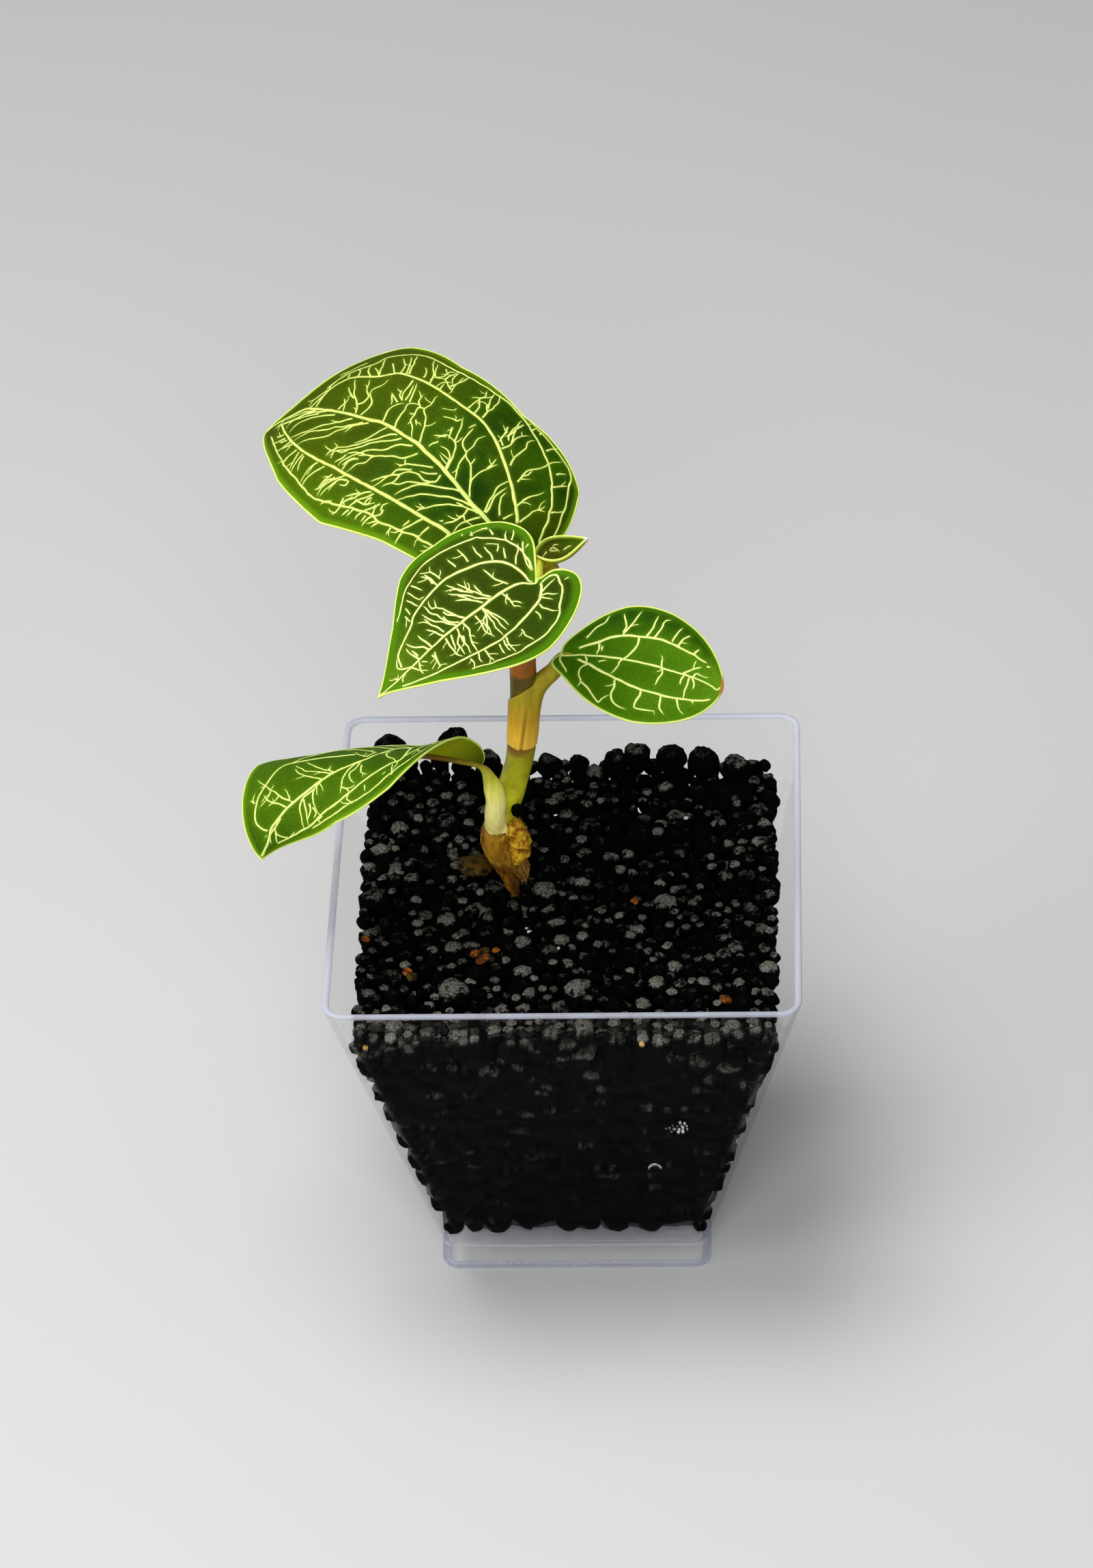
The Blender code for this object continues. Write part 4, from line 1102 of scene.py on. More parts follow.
rightVeins = {
    "midrib": [[(0, 0), (22, 225), (65, 90), (120, 30), (175, 10), (288, -15), (382, -20), (503, -25),
        (558, -25), (662, -10), (760, -5), (802, 0), (852, 15), (895, 50), (938, 150), (965, 315), (990, 0)]],
    "laterals": [[(100, -220), (210, -320), (245, -365), (288, -405), (378, -440), (470, -455), (518, -475),
        (568, -485), (660, -480), (745, -475), (790, -485), (825, -475), (870, -505)], [(118, 185), (165, 235),
        (200, 250), (245, 300), (290, 340), (332, 355), (375, 390), (422, 410), (473, 440), (520, 460),
        (565, 465), (612, 480), (705, 525), (795, 545), (842, 580), (888, 625), (932, 660)]],
    "branches": [
        [(128, -490), (145, -640), (165, -715), (190, -755), (215, -795), (228, -915)], [(345, -460),
        (340, -525), (350, -590), (332, -715), (308, -870)], [(345, -500), (365, -600), (388, -705),
        (400, -810), (418, -905)], [(482, -475), (498, -565), (508, -655), (510, -765), (520, -880)],
        [(532, -490), (545, -590), (558, -675), (562, -775), (575, -840), (602, -885)], [(640, -520),
        (648, -615), (662, -725), (682, -835)], [(682, -505), (700, -630), (720, -720), (742, -815)],
        [(782, -465), (792, -555), (810, -660)], [(442, -430), (445, -335), (435, -235), (413, -120),
        (382, -25), (362, 60), (365, 140), (355, 235), (340, 320)], [(218, -290), (225, -140), (220, -30)],
        [(240, -215), (242, -110)], [(248, 145), (268, 85), (288, 65)], [(152, 35), (170, 165), (175, 260)],
        [(192, 260), (162, 365), (152, 520), (165, 660), (185, 740), (178, 880)], [(185, 740), (222, 760),
        (252, 800), (283, 855), (318, 910), (328, 830), (350, 750), (372, 700)], [(375, 400), (380, 515),
        (372, 645), (375, 740), (400, 805), (435, 835), (473, 850)], [(532, 470), (528, 570), (520, 665),
        (518, 770), (555, 790), (600, 785), (628, 790), (638, 850)], [(645, 510), (648, 605), (652, 715),
        (672, 795), (688, 860)], [(742, 545), (750, 650), (760, 755)], [(825, 570), (835, 680)], [(618, -25),
        (612, -100), (608, -180)], [(618, -15), (625, 85), (610, 205), (598, 335)], [(745, -10), (772, -95),
        (808, -200), (845, -320)], [(790, 25), (782, 220), (775, 375), (775, 525)], [(755, 25), (742, 130),
        (742, 225)], [(805, 20), (822, 155), (822, 300)], [(808, -5), (815, -90), (838, -155)], [(10, 305),
        (40, 565), (75, 695), (85, 810)], [(880, -430), (905, -515)]],
}
leftVeins = {
    "midrib": [[(0, 0), (130, 150), (258, 220), (362, 60), (455, -120), (498, -130), (595, -100), (655, -105),
        (738, -90), (802, -45), (855, -20), (893, 10), (938, -105), (990, 0)]],
    "laterals": [[(465, 135), (510, 230), (555, 355), (638, 545), (678, 585), (740, 545), (782, 540),
        (828, 565), (855, 550), (895, 495), (905, 270), (900, 70)], [(15, 120), (50, 380), (125, 590),
        (230, 680), (330, 660), (430, 620), (520, 600), (580, 590), (640, 548)], [(12, -150), (60, -450),
        (140, -620), (240, -680), (330, -700), (405, -690)], [(272, -125), (405, -690), (455, -635),
        (508, -595), (550, -595), (640, -645), (688, -670), (735, -685), (795, -730), (840, -700), (888, -695),
        (928, -570)]],
    "outer": [[(405, -875), (542, -825), (585, -835), (638, -810), (680, -820), (800, -815)], [(40, 520),
        (110, 800), (240, 880), (380, 890), (500, 890), (600, 900)], [(40, -560), (110, -820), (220, -880),
        (330, -880), (405, -875)]],
    "branches": [
        # on the side that the photograph doesn't show
        [(90, 90), (100, -180), (104, -420), (112, -570)], [(180, 190), (190, -100), (205, -400), (216, -660)],
        [(112, -590), (126, -720), (120, -830)], [(190, -660), (206, -780), (200, -870)], [(280, -690),
        (300, -800), (295, -880)], [(350, -700), (366, -800), (360, -870)], [(150, 180), (180, 400),
        (185, 640)], [(225, 210), (262, 440), (270, 670)], [(312, 150), (335, 380), (352, 640)], [(400, 60),
        (412, 350), (432, 600)], [(130, 600), (152, 740), (145, 850)], [(230, 680), (246, 790), (240, 885)],
        [(330, 660), (352, 780), (345, 890)], [(430, 620), (446, 740), (440, 890)], [(520, 600), (532, 740),
        (525, 890)], [(180, 650), (202, 770)], [(285, 680), (300, 790)], [(385, 640), (402, 770)], [(480, 600),
        (492, 730)], [(60, 420), (100, 560), (90, 700)],
        # on the side that it shows
        [(595, -100), (610, 100), (612, 260), (610, 420)], [(598, -120), (618, 0), (638, 145), (652, 245),
        (645, 460)], [(645, -95), (662, 70), (672, 230), (662, 385)], [(495, -155), (525, -155), (562, -220),
        (590, -305), (618, -445), (640, -555)], [(505, -175), (535, -265), (558, -280), (580, -425),
        (578, -550)], [(510, -245), (535, -405), (530, -520)], [(620, -455), (610, -535), (615, -625)],
        [(355, 55), (422, -330), (430, -565), (442, -740), (465, -790), (488, -835)], [(485, -860),
        (452, -675)], [(490, -715), (505, -715)], [(562, -680), (580, -800)], [(615, -625), (638, -715),
        (633, -830), (655, -745), (655, -645)], [(650, -120), (688, -160), (718, -325), (740, -550),
        (740, -725)], [(685, -160), (735, -160), (775, -265), (795, -460), (818, -665), (835, -815)],
        [(738, -330), (753, -475), (792, -610)], [(738, -445), (745, -580), (768, -620)], [(740, -195),
        (760, -370), (782, -545), (805, -745)], [(740, -725), (760, -730), (760, -850)], [(842, -60),
        (878, -65), (898, -275), (893, -595), (883, -720)], [(878, -65), (912, -50), (938, -275)], [(893, -175),
        (930, -555)], [(770, -110), (780, 80), (780, 230), (780, 440), (780, 550), (778, 770)], [(798, -55),
        (805, 145), (815, 295), (812, 480)], [(780, 225), (798, 210), (808, 215)], [(775, 25), (763, 65)],
        [(782, 395), (810, 365)], [(850, 600), (850, 735)], [(400, 80), (458, 10), (450, 240)]],
}
newVeins = {
    "midrib": [[(0, 0), (300, 0), (650, 0), (960, 0)]],
    "branches": [
        [(290, -560), (340, -600), (385, -560), (430, -425), (455, -320)], [(300, -550), (345, -500),
        (430, -425)], [(360, -590), (420, -660), (500, -610)], [(240, -575), (200, -530), (130, -500)],
        [(520, -330), (600, -380), (690, -360)], [(520, 0), (600, 260), (650, 420)]],
}


# the leaves, bent from a flat pattern. Angles are in degrees, each with its turns over the length:
# heading counts from +X towards +Y, climb is above the horizontal, roll lifts the right half.
# Pairs are the left and the right half, looking from the base to the tip: fold lifts a half, curl bends
# it on towards its margin, lobes reach back past the base, margin widens or narrows it at the stations,
# and trim draws it in. Widths are the veins' radii at their start and end. Band is a strip along the
# margin (millimetres in, strength, colour), and each zone a patch of another green, with the attribute
# that it is read from. Stalk is the petiole's colour by height, cut a plane that ends the sheath.
leaves = {
    "top": {
        "base": (-0.0048, 0.0080, 0.0966), "length": 0.0482, "halfWidths": (0.0134, 0.0162),
        "shape": (0.55, 0.56), "heading": (138, 4, 6), "climb": (47, -70, -31, 0), "roll": (24, -7, 0),
        "fold": ((3, 0, 0), (4, 0, 0)), "curl": (-23, -41), "lobes": (0.0029, 0.0029),
        "margin": ((0.91, 0.95, 1.10, 1.04, 0.96), (1.22, 0.91, 0.90, 1.07, 1.00)),
        "petiole": [(-0.0046, 0.0036, 0.0886), (-0.0048, 0.0054, 0.0922)], "petioleRadius": 0.0011,
        "sheath": (0.0880, 0.0912), "grid": (120, 68), "veins": topVeins,
        "widths": {"midrib": (0.00034, 0.00017), "laterals": (0.00027, 0.00016), "outer": (0.00018, 0.00013),
                   "branches": (0.00015, 0.00010)},
        "twigs": 60, "band": (0.25, 0.95, 0.75, (0.15, 0.30, 0.006)), "rimRadius": 0.00015,
        "trim": [[(0.80, 1.0), (0.87, 0.92), (0.91, 0.85), (0.95, 0.74), (0.98, 0.62), (1, 0.5)],
                 [(0.70, 1.0), (0.76, 0.86), (0.80, 0.68), (0.82, 0.52), (0.845, 0.33), (0.88, 0.18),
                  (0.92, 0.10), (1, 0.06)]],
        "zones": [("along", 0.30, 0.62, 0.75, (0.056, 0.088, 0.002)),
                  ("along", 0.80, 1.0, 0.7, (0.050, 0.062, 0.003)),
                  ("across", -0.45, -0.95, 0.6, (0.066, 0.150, 0.002))],
        "deep": (0.008, 0.032, 0.001), "green": (0.027, 0.080, 0.001), "olive": (0.040, 0.066, 0.001),
        "halo": (0.15, 0.28, 0.008), "vein": (0.68, 0.76, 0.20), "branch": (0.60, 0.70, 0.17),
        "stalk": [(0.0880, (0.21, 0.090, 0.014)), (0.0910, (0.36, 0.33, 0.05)), (0.0960, (0.42, 0.46, 0.08)),
                  (0.1050, (0.30, 0.40, 0.05))],
    },
    "middle": {
        "base": (-0.0026, -0.0010, 0.1024), "length": 0.0251, "halfWidths": (0.0112, 0.0125),
        "shape": (0.84, 1.30), "heading": (221, -11, -3), "climb": (-12, -4, -24, 0), "roll": (19, -27, 0),
        "fold": ((9, 0, 0), (8, 0, 0)), "curl": (-1, -21), "lobes": (0.0052, 0.0050),
        "margin": ((1.03, 1.07, 0.99, 0.95, 1.03), (1.09, 0.97, 1.01, 0.93, 1.01)),
        "dimple": (0.0018, (0.0004, -0.0006, -0.0009)),
        "petiole": [(-0.0036, 0.0030, 0.0940), (-0.0030, 0.0032, 0.0985), (-0.0022, 0.0022, 0.1012),
                    (-0.0021, 0.0004, 0.1018)],
        "petioleRadius": 0.0010, "taper": 0.6, "sheath": (0.0934, 0.0962), "grid": (96, 64),
        "veins": middleVeins,
        "widths": {"midrib": (0.00021, 0.00016), "laterals": (0.00021, 0.00015), "outer": (0.00017, 0.00012),
                   "branches": (0.00014, 0.00011)},
        "twigs": 40, "band": (0.7, 1.5, 0.75, (0.070, 0.20, 0.003)),
        "zones": [("edge", 1.6, 3.0, 0.8, (0.029, 0.050, 0.002)),
                  ("along", 0.58, 0.86, 0.75, (0.10, 0.20, 0.006))],
        "deep": (0.015, 0.034, 0.001), "green": (0.030, 0.085, 0.002), "olive": (0.038, 0.058, 0.002),
        "halo": (0.14, 0.28, 0.010), "vein": (0.78, 0.85, 0.29), "branch": (0.76, 0.83, 0.29),
        "stalk": [(0.0934, (0.36, 0.33, 0.04)), (0.0960, (0.42, 0.38, 0.04)), (0.1000, (0.50, 0.46, 0.035)),
                  (0.1020, (0.46, 0.50, 0.03))],
    },
    "right": {
        "base": (0.0003, 0.0025, 0.0866), "length": 0.0210, "halfWidths": (0.0084, 0.0087),
        "shape": (0.63, 0.64), "heading": (-17, 10, 9), "climb": (11, -43, 6, 0), "roll": (-9, -13, 0),
        "fold": ((8, 0, 0), (10, 0, 0)), "curl": (-10, -16), "lobes": (0.0003, 0.0011), "lobeReach": 0.02,
        "margin": ((1.02, 1.04, 1.00, 0.98, 1.00), (0.98, 1.01, 1.03, 1.00, 1.00)),
        "petiole": [(-0.0048, 0.0032, 0.0736), (-0.0041, 0.0031, 0.0776), (-0.0032, 0.0029, 0.0807),
                    (-0.0020, 0.0029, 0.0824), (-0.0008, 0.0030, 0.0836)],
        "petioleRadius": 0.00100, "flare": 0.0008, "sheath": (0.0721, 0.0835),
        "cut": ((-0.0048, 0.0032, 0.0803), (-0.74, 0.62, 1.0)), "grid": (84, 60), "veins": rightVeins,
        "crease": {"heights": (0.0719, 0.0795), "start": -0.0001, "slant": 0.0007, "front": 0.0021,
                   "groove": (0.00017, 0.00030), "fold": (0.00048, 0.00034, 0.00016)},
        "widths": {"midrib": (0.00017, 0.00014), "laterals": (0.00022, 0.00015),
                   "branches": (0.00016, 0.00012)},
        "twigs": 8, "band": (0.3, 0.9, 0.35, (0.09, 0.24, 0.004)), "tip": (0.975, (0.42, 0.17, 0.03)),
        "zones": [("along", 0.35, 0.85, 0.85, (0.085, 0.215, 0.005)),
                  ("across", -0.40, -0.80, 0.85, (0.014, 0.055, 0.001)),
                  ("across", 0.62, 0.9, 0.5, (0.045, 0.135, 0.001)),
                  ("along", 0.86, 1.0, 0.7, (0.15, 0.30, 0.010))],
        "deep": (0.026, 0.090, 0.001), "green": (0.050, 0.150, 0.002), "olive": (0.062, 0.165, 0.002),
        "halo": (0.15, 0.33, 0.008), "vein": (0.82, 0.90, 0.30), "branch": (0.80, 0.88, 0.28),
        "stalk": [(0.0722, (0.84, 0.56, 0.060)), (0.0742, (0.74, 0.44, 0.030)), (0.0768, (0.50, 0.30, 0.010)),
                  (0.0800, (0.36, 0.28, 0.008)), (0.0850, (0.30, 0.26, 0.007)), (0.0870, (0.30, 0.30, 0.010))],
    },
    "left": {
        "base": (-0.0103, 0.0010, 0.0702), "length": 0.0367, "halfWidths": (0.0092, 0.0148),
        "trim": [[(0, 0.84), (0.10, 0.88), (0.22, 1)], [(0, 1), (1, 1)]], "rimRadius": 0.00011,
        "shape": (0.63, 0.85), "heading": (196, 34, 0), "climb": (31, -24, -28, -50), "roll": (-26, -66, 94),
        "fold": ((48, -133, 21), (14, 0, 0)), "curl": (-12, -21), "lobes": (0.0, 0.0),
        "margin": ((0.97, 1.04, 1.10, 0.90, 0.98), (1.02, 0.98, 0.99, 1.13, 1.01)),
        "petiole": [(-0.0088, 0.0034, 0.0566), (-0.0089, 0.0025, 0.0590), (-0.0089, 0.0012, 0.0618),
                    (-0.0087, 0.0005, 0.0650), (-0.0093, 0.0005, 0.0681)],
        "petioleRadius": 0.00122, "taper": 0.32, "full": 0.75, "flare": 0.0003, "sheath": (0.0560, 0.0640),
        "cut": ((-0.0080, 0.0032, 0.0605), (1.0, 0.1, 0.42)), "grid": (110, 64), "veins": leftVeins,
        "widths": {"midrib": (0.00022, 0.00017), "laterals": (0.00020, 0.00013), "outer": (0.00015, 0.00011),
                   "branches": (0.00014, 0.00010)},
        "twigs": 44, "band": (0.25, 0.8, 0.6, (0.14, 0.30, 0.006)),
        "underZone": (0.02, 0.16, (0.080, 0.090, 0.003)),
        "zones": [("along", 0.45, 0.62, 0.6, (0.068, 0.148, 0.003)),
                  ("along", 0.86, 1.0, 0.8, (0.028, 0.076, 0.002))],
        "deep": (0.022, 0.064, 0.001), "green": (0.044, 0.114, 0.002), "olive": (0.056, 0.110, 0.002),
        "halo": (0.17, 0.34, 0.008), "vein": (0.70, 0.80, 0.22), "branch": (0.68, 0.79, 0.22),
        "stalk": [(0.0556, (0.34, 0.19, 0.010)), (0.0578, (0.40, 0.25, 0.020)), (0.0584, (0.98, 0.92, 0.30)),
                  (0.0645, (1.0, 0.96, 0.34)), (0.0668, (0.88, 0.86, 0.16)), (0.0686, (0.52, 0.54, 0.03)),
                  (0.0704, (0.27, 0.24, 0.012)), (0.0724, (0.13, 0.075, 0.005))],
    },
    "new": {
        "base": (-0.0021, 0.0032, 0.0992), "length": 0.0080, "halfWidths": (0.0033, 0.0036),
        "shape": (0.42, 0.80), "heading": (-4, 8, 0), "climb": (24, 28, 0, 0), "roll": (0, 0, 0),
        "fold": ((30, 0, 0), (80, -190, 130)), "curl": (56, 40), "lobes": (0.0002, 0.0002),
        "margin": ((1, 1, 1, 1, 1), (1, 1, 1, 1, 1)),
        "petiole": [(-0.0024, 0.0032, 0.0978)], "petioleRadius": 0.0008, "sheath": None, "keel": 0.3,
        "grid": (56, 36), "veins": newVeins, "slot": "young_leaf",
        "widths": {"midrib": (0.00009, 0.00006), "branches": (0.00013, 0.00009)},
        "under": (0.27, 0.24, 0.010), "twigs": 0, "band": (0.10, 0.45, 1.0, (0.36, 0.52, 0.030)),
        "rimRadius": 0.00013,
        "tip": (0.955, (0.70, 0.70, 0.60)), "zones": [("along", 0.45, 0.85, 0.7, (0.045, 0.130, 0.003))],
        "deep": (0.045, 0.055, 0.003), "green": (0.060, 0.085, 0.003), "olive": (0.080, 0.075, 0.004),
        "halo": (0.16, 0.20, 0.01), "vein": (0.62, 0.64, 0.18), "branch": (0.66, 0.68, 0.22),
        "stalk": [(0.0978, (0.40, 0.32, 0.02)), (0.0995, (0.32, 0.27, 0.014)), (0.1030, (0.26, 0.25, 0.012))],
    },
}
leafLooks = {                            # what a leaf has unless its own entry says otherwise
    "seed": 7, "marginStations": (0.0, 0.12, 0.32, 0.52, 0.72, 0.90, 1.0), "thickness": 0.00026,
    "lobeReach": 0.09,                   # share of the length where the lobes reach furthest back
    "crowding": 1.35,                    # the mesh is finer towards the base
    "rim": (0.62, 0.76, 0.13), "paleRim": (0.72, 0.82, 0.22), "under": (0.22, 0.26, 0.006),
    "roughness": (0.5, 0.68), "gloss": 0.015,
    "haloReach": 0.0006, "haloFade": 1.6, "haloStrength": 0.45, "fineHalo": 0.72,     # paler beside veins
    "pucker": 0.00003,                   # the blade swells between its veins
    "rimSteps": 110, "rimRadius": 0.00014, "rimLift": 0.00009, "rimThin": 0.9, "rimUneven": 0.25,
    "veinStep": 0.0004, "wobble": 0.00007, "uneven": 0.28,
    "flattened": (0.42, 0.50),           # how far a vein stands out and reaches in, as shares of its radius
    "thinFrom": 0.85, "thinning": 3.5,   # the last stretch of a branch thins faster
}
twigLooks = {                            # the short forks between the traced veins
    "radii": (0.00010, 0.00007), "tries": 14, "turn": (28, 62), "reach": (0.0008, 0.0019), "bow": 0.00018,
    "spacing": 0.0003, "endGap": 0.00034, "middleGap": 0.00022, "ownGap": 0.0003,      # from other veins
    "along": (0.03, 0.97), "across": 0.93,
}
stalks = {
    "keel": 0.75,                        # the petiole runs on under the blade over this share of its length
    "keelSteps": 8, "keelTip": 0.0004, "thinning": 0.7,
    "sunk": 0.92, "proud": 0.00004,      # the keel's middle lies this share of its radius under the blade
    "spacing": 0.0005, "full": 0.35,     # it keeps its full radius over this share of the petiole
    "flareFade": 1.2,
    "sleeve": 0.0020, "sleeveSteps": 14, "voxel": 0.00015, "smoothing": 7,
    # the painted shade in the sheath's crease
    "creaseColour": (0.16, 0.085, 0.006),
}


def angle(terms, s):
    return math.radians(sum(term * s**power for power, term in enumerate(terms)))


def midribFrames(leaf, steps=160):
    # points along the midrib, each with the way ahead, the way to the right and the upper side
    frames, place, last = [], Vector(leaf["base"]), None
    for i in range(steps + 1):
        s = i / steps
        heading, climb, roll = (angle(leaf[key], s) for key in ("heading", "climb", "roll"))
        ahead = Vector((math.cos(climb) * math.cos(heading), math.cos(climb) * math.sin(heading),
                        math.sin(climb)))
        if last is not None:
            place = place + (ahead + last) / 2 * leaf["length"] / steps
        level = ahead.cross(Vector((0, 0, 1))).normalized()
        upright = level.cross(ahead)
        right = level * math.cos(roll) + upright * math.sin(roll)
        upper = upright * math.cos(roll) - level * math.sin(roll)
        frames.append((place, ahead, right, upper))
        last = ahead
    return frames


def within(share):
    return min(max(share, 0), 1)


def sideOf(across):
    # which half of the leaf: 0 is the left one, 1 the right one
    return 1 if across > 0 else 0


def frameAt(frames, s):
    position = within(s) * (len(frames) - 1)
    i = min(int(position), len(frames) - 2)
    return [a.lerp(b, position - i) for a, b in zip(frames[i], frames[i + 1])]


def halfWidth(leaf, side, s):
    # from the midrib to the margin
    s = within(s)
    swell, taper = leaf["shape"]
    widest = swell / (swell + taper)
    outline = (s / widest) ** swell * ((1 - s) / (1 - widest)) ** taper
    factors = zip(leafLooks["marginStations"], (1.0, *leaf["margin"][side], 1.0))
    return leaf["halfWidths"][side] * outline * between(s, list(factors))


def onPattern(leaf, path, z=0):
    # a traced line, laid out in metres on the flat pattern
    return [(s / 1000 * leaf["length"], t / 1000 * halfWidth(leaf, sideOf(t), s / 1000), z) for s, t in path]


def reachOf(leaf, s, t):
    # a place across the leaf, drawn in where the margin stands short of the half-width
    return t * between(s, leaf["trim"][sideOf(t)]) if "trim" in leaf else t


def bend(leaf, frames, x, y, z):
    # flat pattern to finished leaf: x along the midrib, y across with the right half positive, z lifted
    s = x / leaf["length"]
    place, ahead, right, upper = frameAt(frames, s)
    side, inside, sign = sideOf(y), within(s), math.copysign(1, y)
    share = min(abs(y) / max(halfWidth(leaf, side, s), 0.0001), 1.15)
    fold, curl = angle(leaf["fold"][side], inside), math.radians(leaf["curl"][side])
    lean, steep = fold + curl * share / 2, fold + curl * share
    reach = leaf.get("lobeReach", leafLooks["lobeReach"])
    back = leaf["lobes"][side] * (inside / reach) * math.exp(1 - inside / reach) * share**1.5
    lift = upper * math.cos(steep) - right * sign * math.sin(steep)
    past = max(0, x - leaf["length"]) + min(0, x)
    bent = (place + ahead * (past - back) + right * sign * abs(y) * math.cos(lean)
            + upper * abs(y) * math.sin(lean) + lift * z)
    if "dimple" in leaf:                 # the blade sinks where its petiole joins it
        reach, sink = leaf["dimple"]
        bent += Vector(sink) * math.exp(-(bent - Vector(leaf["base"])).length_squared / reach**2)
    return bent


def bendLine(leaf, frames, line):
    # a line of the flat pattern on the bent leaf: each point with its radius, upper side and place along
    bent = []
    for (x, y, z), radius in line:
        place = bend(leaf, frames, x, y, z)
        upper = bend(leaf, frames, x, y, z + 0.0001) - place
        bent.append((place, radius, upper.normalized(), within(x / leaf["length"])))
    return bent


def treeOf(points):
    tree = kdtree.KDTree(len(points))
    for i, place in enumerate(points):
        tree.insert(place, i)
    tree.balance()
    return tree


def layOn(name, lines, resolution, rise, sink):
    # low ridges along bent lines: round tubes, pressed flat towards the surface that they lie on
    piece = drawLines(name, [[(place, radius) for place, radius, _, _ in line] for line in lines], resolution)
    points = [point for line in lines for point in line]
    tree = treeOf([place for place, _, _, _ in points])
    alongs = []
    for vert in piece.data.vertices:
        place, _, upper, along = points[tree.find(vert.co)[1]]
        height = (vert.co - place).dot(upper)
        vert.co = vert.co + upper * height * ((rise if height > 0 else sink) - 1) + potAxis
        alongs.append(along)
    store(piece.data, along=alongs)
    closeUp(piece, 0.000001)
    piece.data.shade_smooth()
    return piece


def twigs(leaf, draw):
    # short fine forks off the traced branches, where there is still room for them
    paths = [[Vector(place) for place in onPattern(leaf, path)] for path in leaf["veins"]["branches"]]
    taken = []
    for path in paths:
        for a, b in zip(path, path[1:]):
            taken += [a, a.lerp(b, 0.33), a.lerp(b, 0.67)]
    for kind in ("midrib", "laterals", "outer"):
        for path in leaf["veins"].get(kind, []):
            taken += smoothRoute(onPattern(leaf, path), twigLooks["spacing"])
    made = []
    low, high = twigLooks["along"]
    for _ in range(leaf["twigs"] * twigLooks["tries"]):
        path = paths[draw.randrange(len(paths))]
        i = draw.randrange(len(path) - 1)
        start = path[i].lerp(path[i + 1], draw.uniform(0.1, 0.9))
        turn = math.radians(draw.choice((-1, 1)) * draw.uniform(*twigLooks["turn"]))
        way = Matrix.Rotation(turn, 3, "Z") @ (path[i + 1] - path[i]).normalized()
        reach = draw.uniform(*twigLooks["reach"])
        bow = Vector((-way.y, way.x, 0)) * draw.uniform(-twigLooks["bow"], twigLooks["bow"])
        middle, end = start + way * reach * 0.5 + bow, start + way * reach
        s = end.x / leaf["length"]
        inside = low < s < high and abs(end.y) < twigLooks["across"] * halfWidth(leaf, sideOf(end.y), s)
        others = [place for place in taken if (place - start).length > twigLooks["ownGap"]]
        if inside and all((place - end).length > twigLooks["endGap"]
                          and (place - middle).length > twigLooks["middleGap"] for place in others):
            made.append([start, middle, end])
            taken += [middle, end]
            if len(made) == leaf["twigs"]:
                break
    return made


def veinLines(leaf, draw):
    # the veins drawn flat, each a smooth wavering line that thins towards its end
    lines, strengths = [], []
    top = leafLooks["thickness"] / 2
    paths = [(kind, onPattern(leaf, path, top)) for kind, group in leaf["veins"].items() for path in group]
    paths += [("twigs", [(*place.xy, top) for place in twig]) for twig in twigs(leaf, draw)]
    for kind, knots in paths:
        start, end = leaf["widths"].get(kind, twigLooks["radii"])
        main = kind in ("midrib", "laterals")
        route = smoothRoute(knots, leafLooks["veinStep"])
        seed = draw.uniform(0, 1000)
        line = []
        for i, place in enumerate(route):
            share = i / max(1, len(route) - 1)
            x, y = place.x * 900, place.y * 900
            off = Vector((ripple(seed, x, y), ripple(x, seed, y), 0)) * leafLooks["wobble"] * (1 if main else 2)
            radius = start + (end - start) * share
            radius *= 1 + leafLooks["uneven"] * ripple(place.x * 1400, place.y * 1400, seed)
            if kind in ("branches", "twigs") and share > leafLooks["thinFrom"]:
                radius *= 1 - leafLooks["thinning"] * (share - leafLooks["thinFrom"])
            line.append((place + off, radius))
            strengths.append(1.0 if main else leafLooks["fineHalo"])
        lines.append(line)
    return lines, strengths


def rimLine(leaf):
    # the outline from base to tip along the left, and back along the right
    line, steps = [], leafLooks["rimSteps"]
    for side, sign in ((0, -1), (1, 1)):
        half = []
        for i in range(steps + 1):
            s = 0.5 - math.cos(math.pi * i / steps) / 2
            s = s * s * (3 - 2 * s) if s < 0.5 else s
            share = leafLooks["rimThin"] + leafLooks["rimUneven"] * ripple(s * 25, side, 0)
            across = reachOf(leaf, s, sign) * halfWidth(leaf, side, s)
            half.append(((s * leaf["length"], across, leafLooks["rimLift"]),
                         leaf.get("rimRadius", leafLooks["rimRadius"]) * share))
        line += half if side == 0 else half[::-1][1:]
    return line


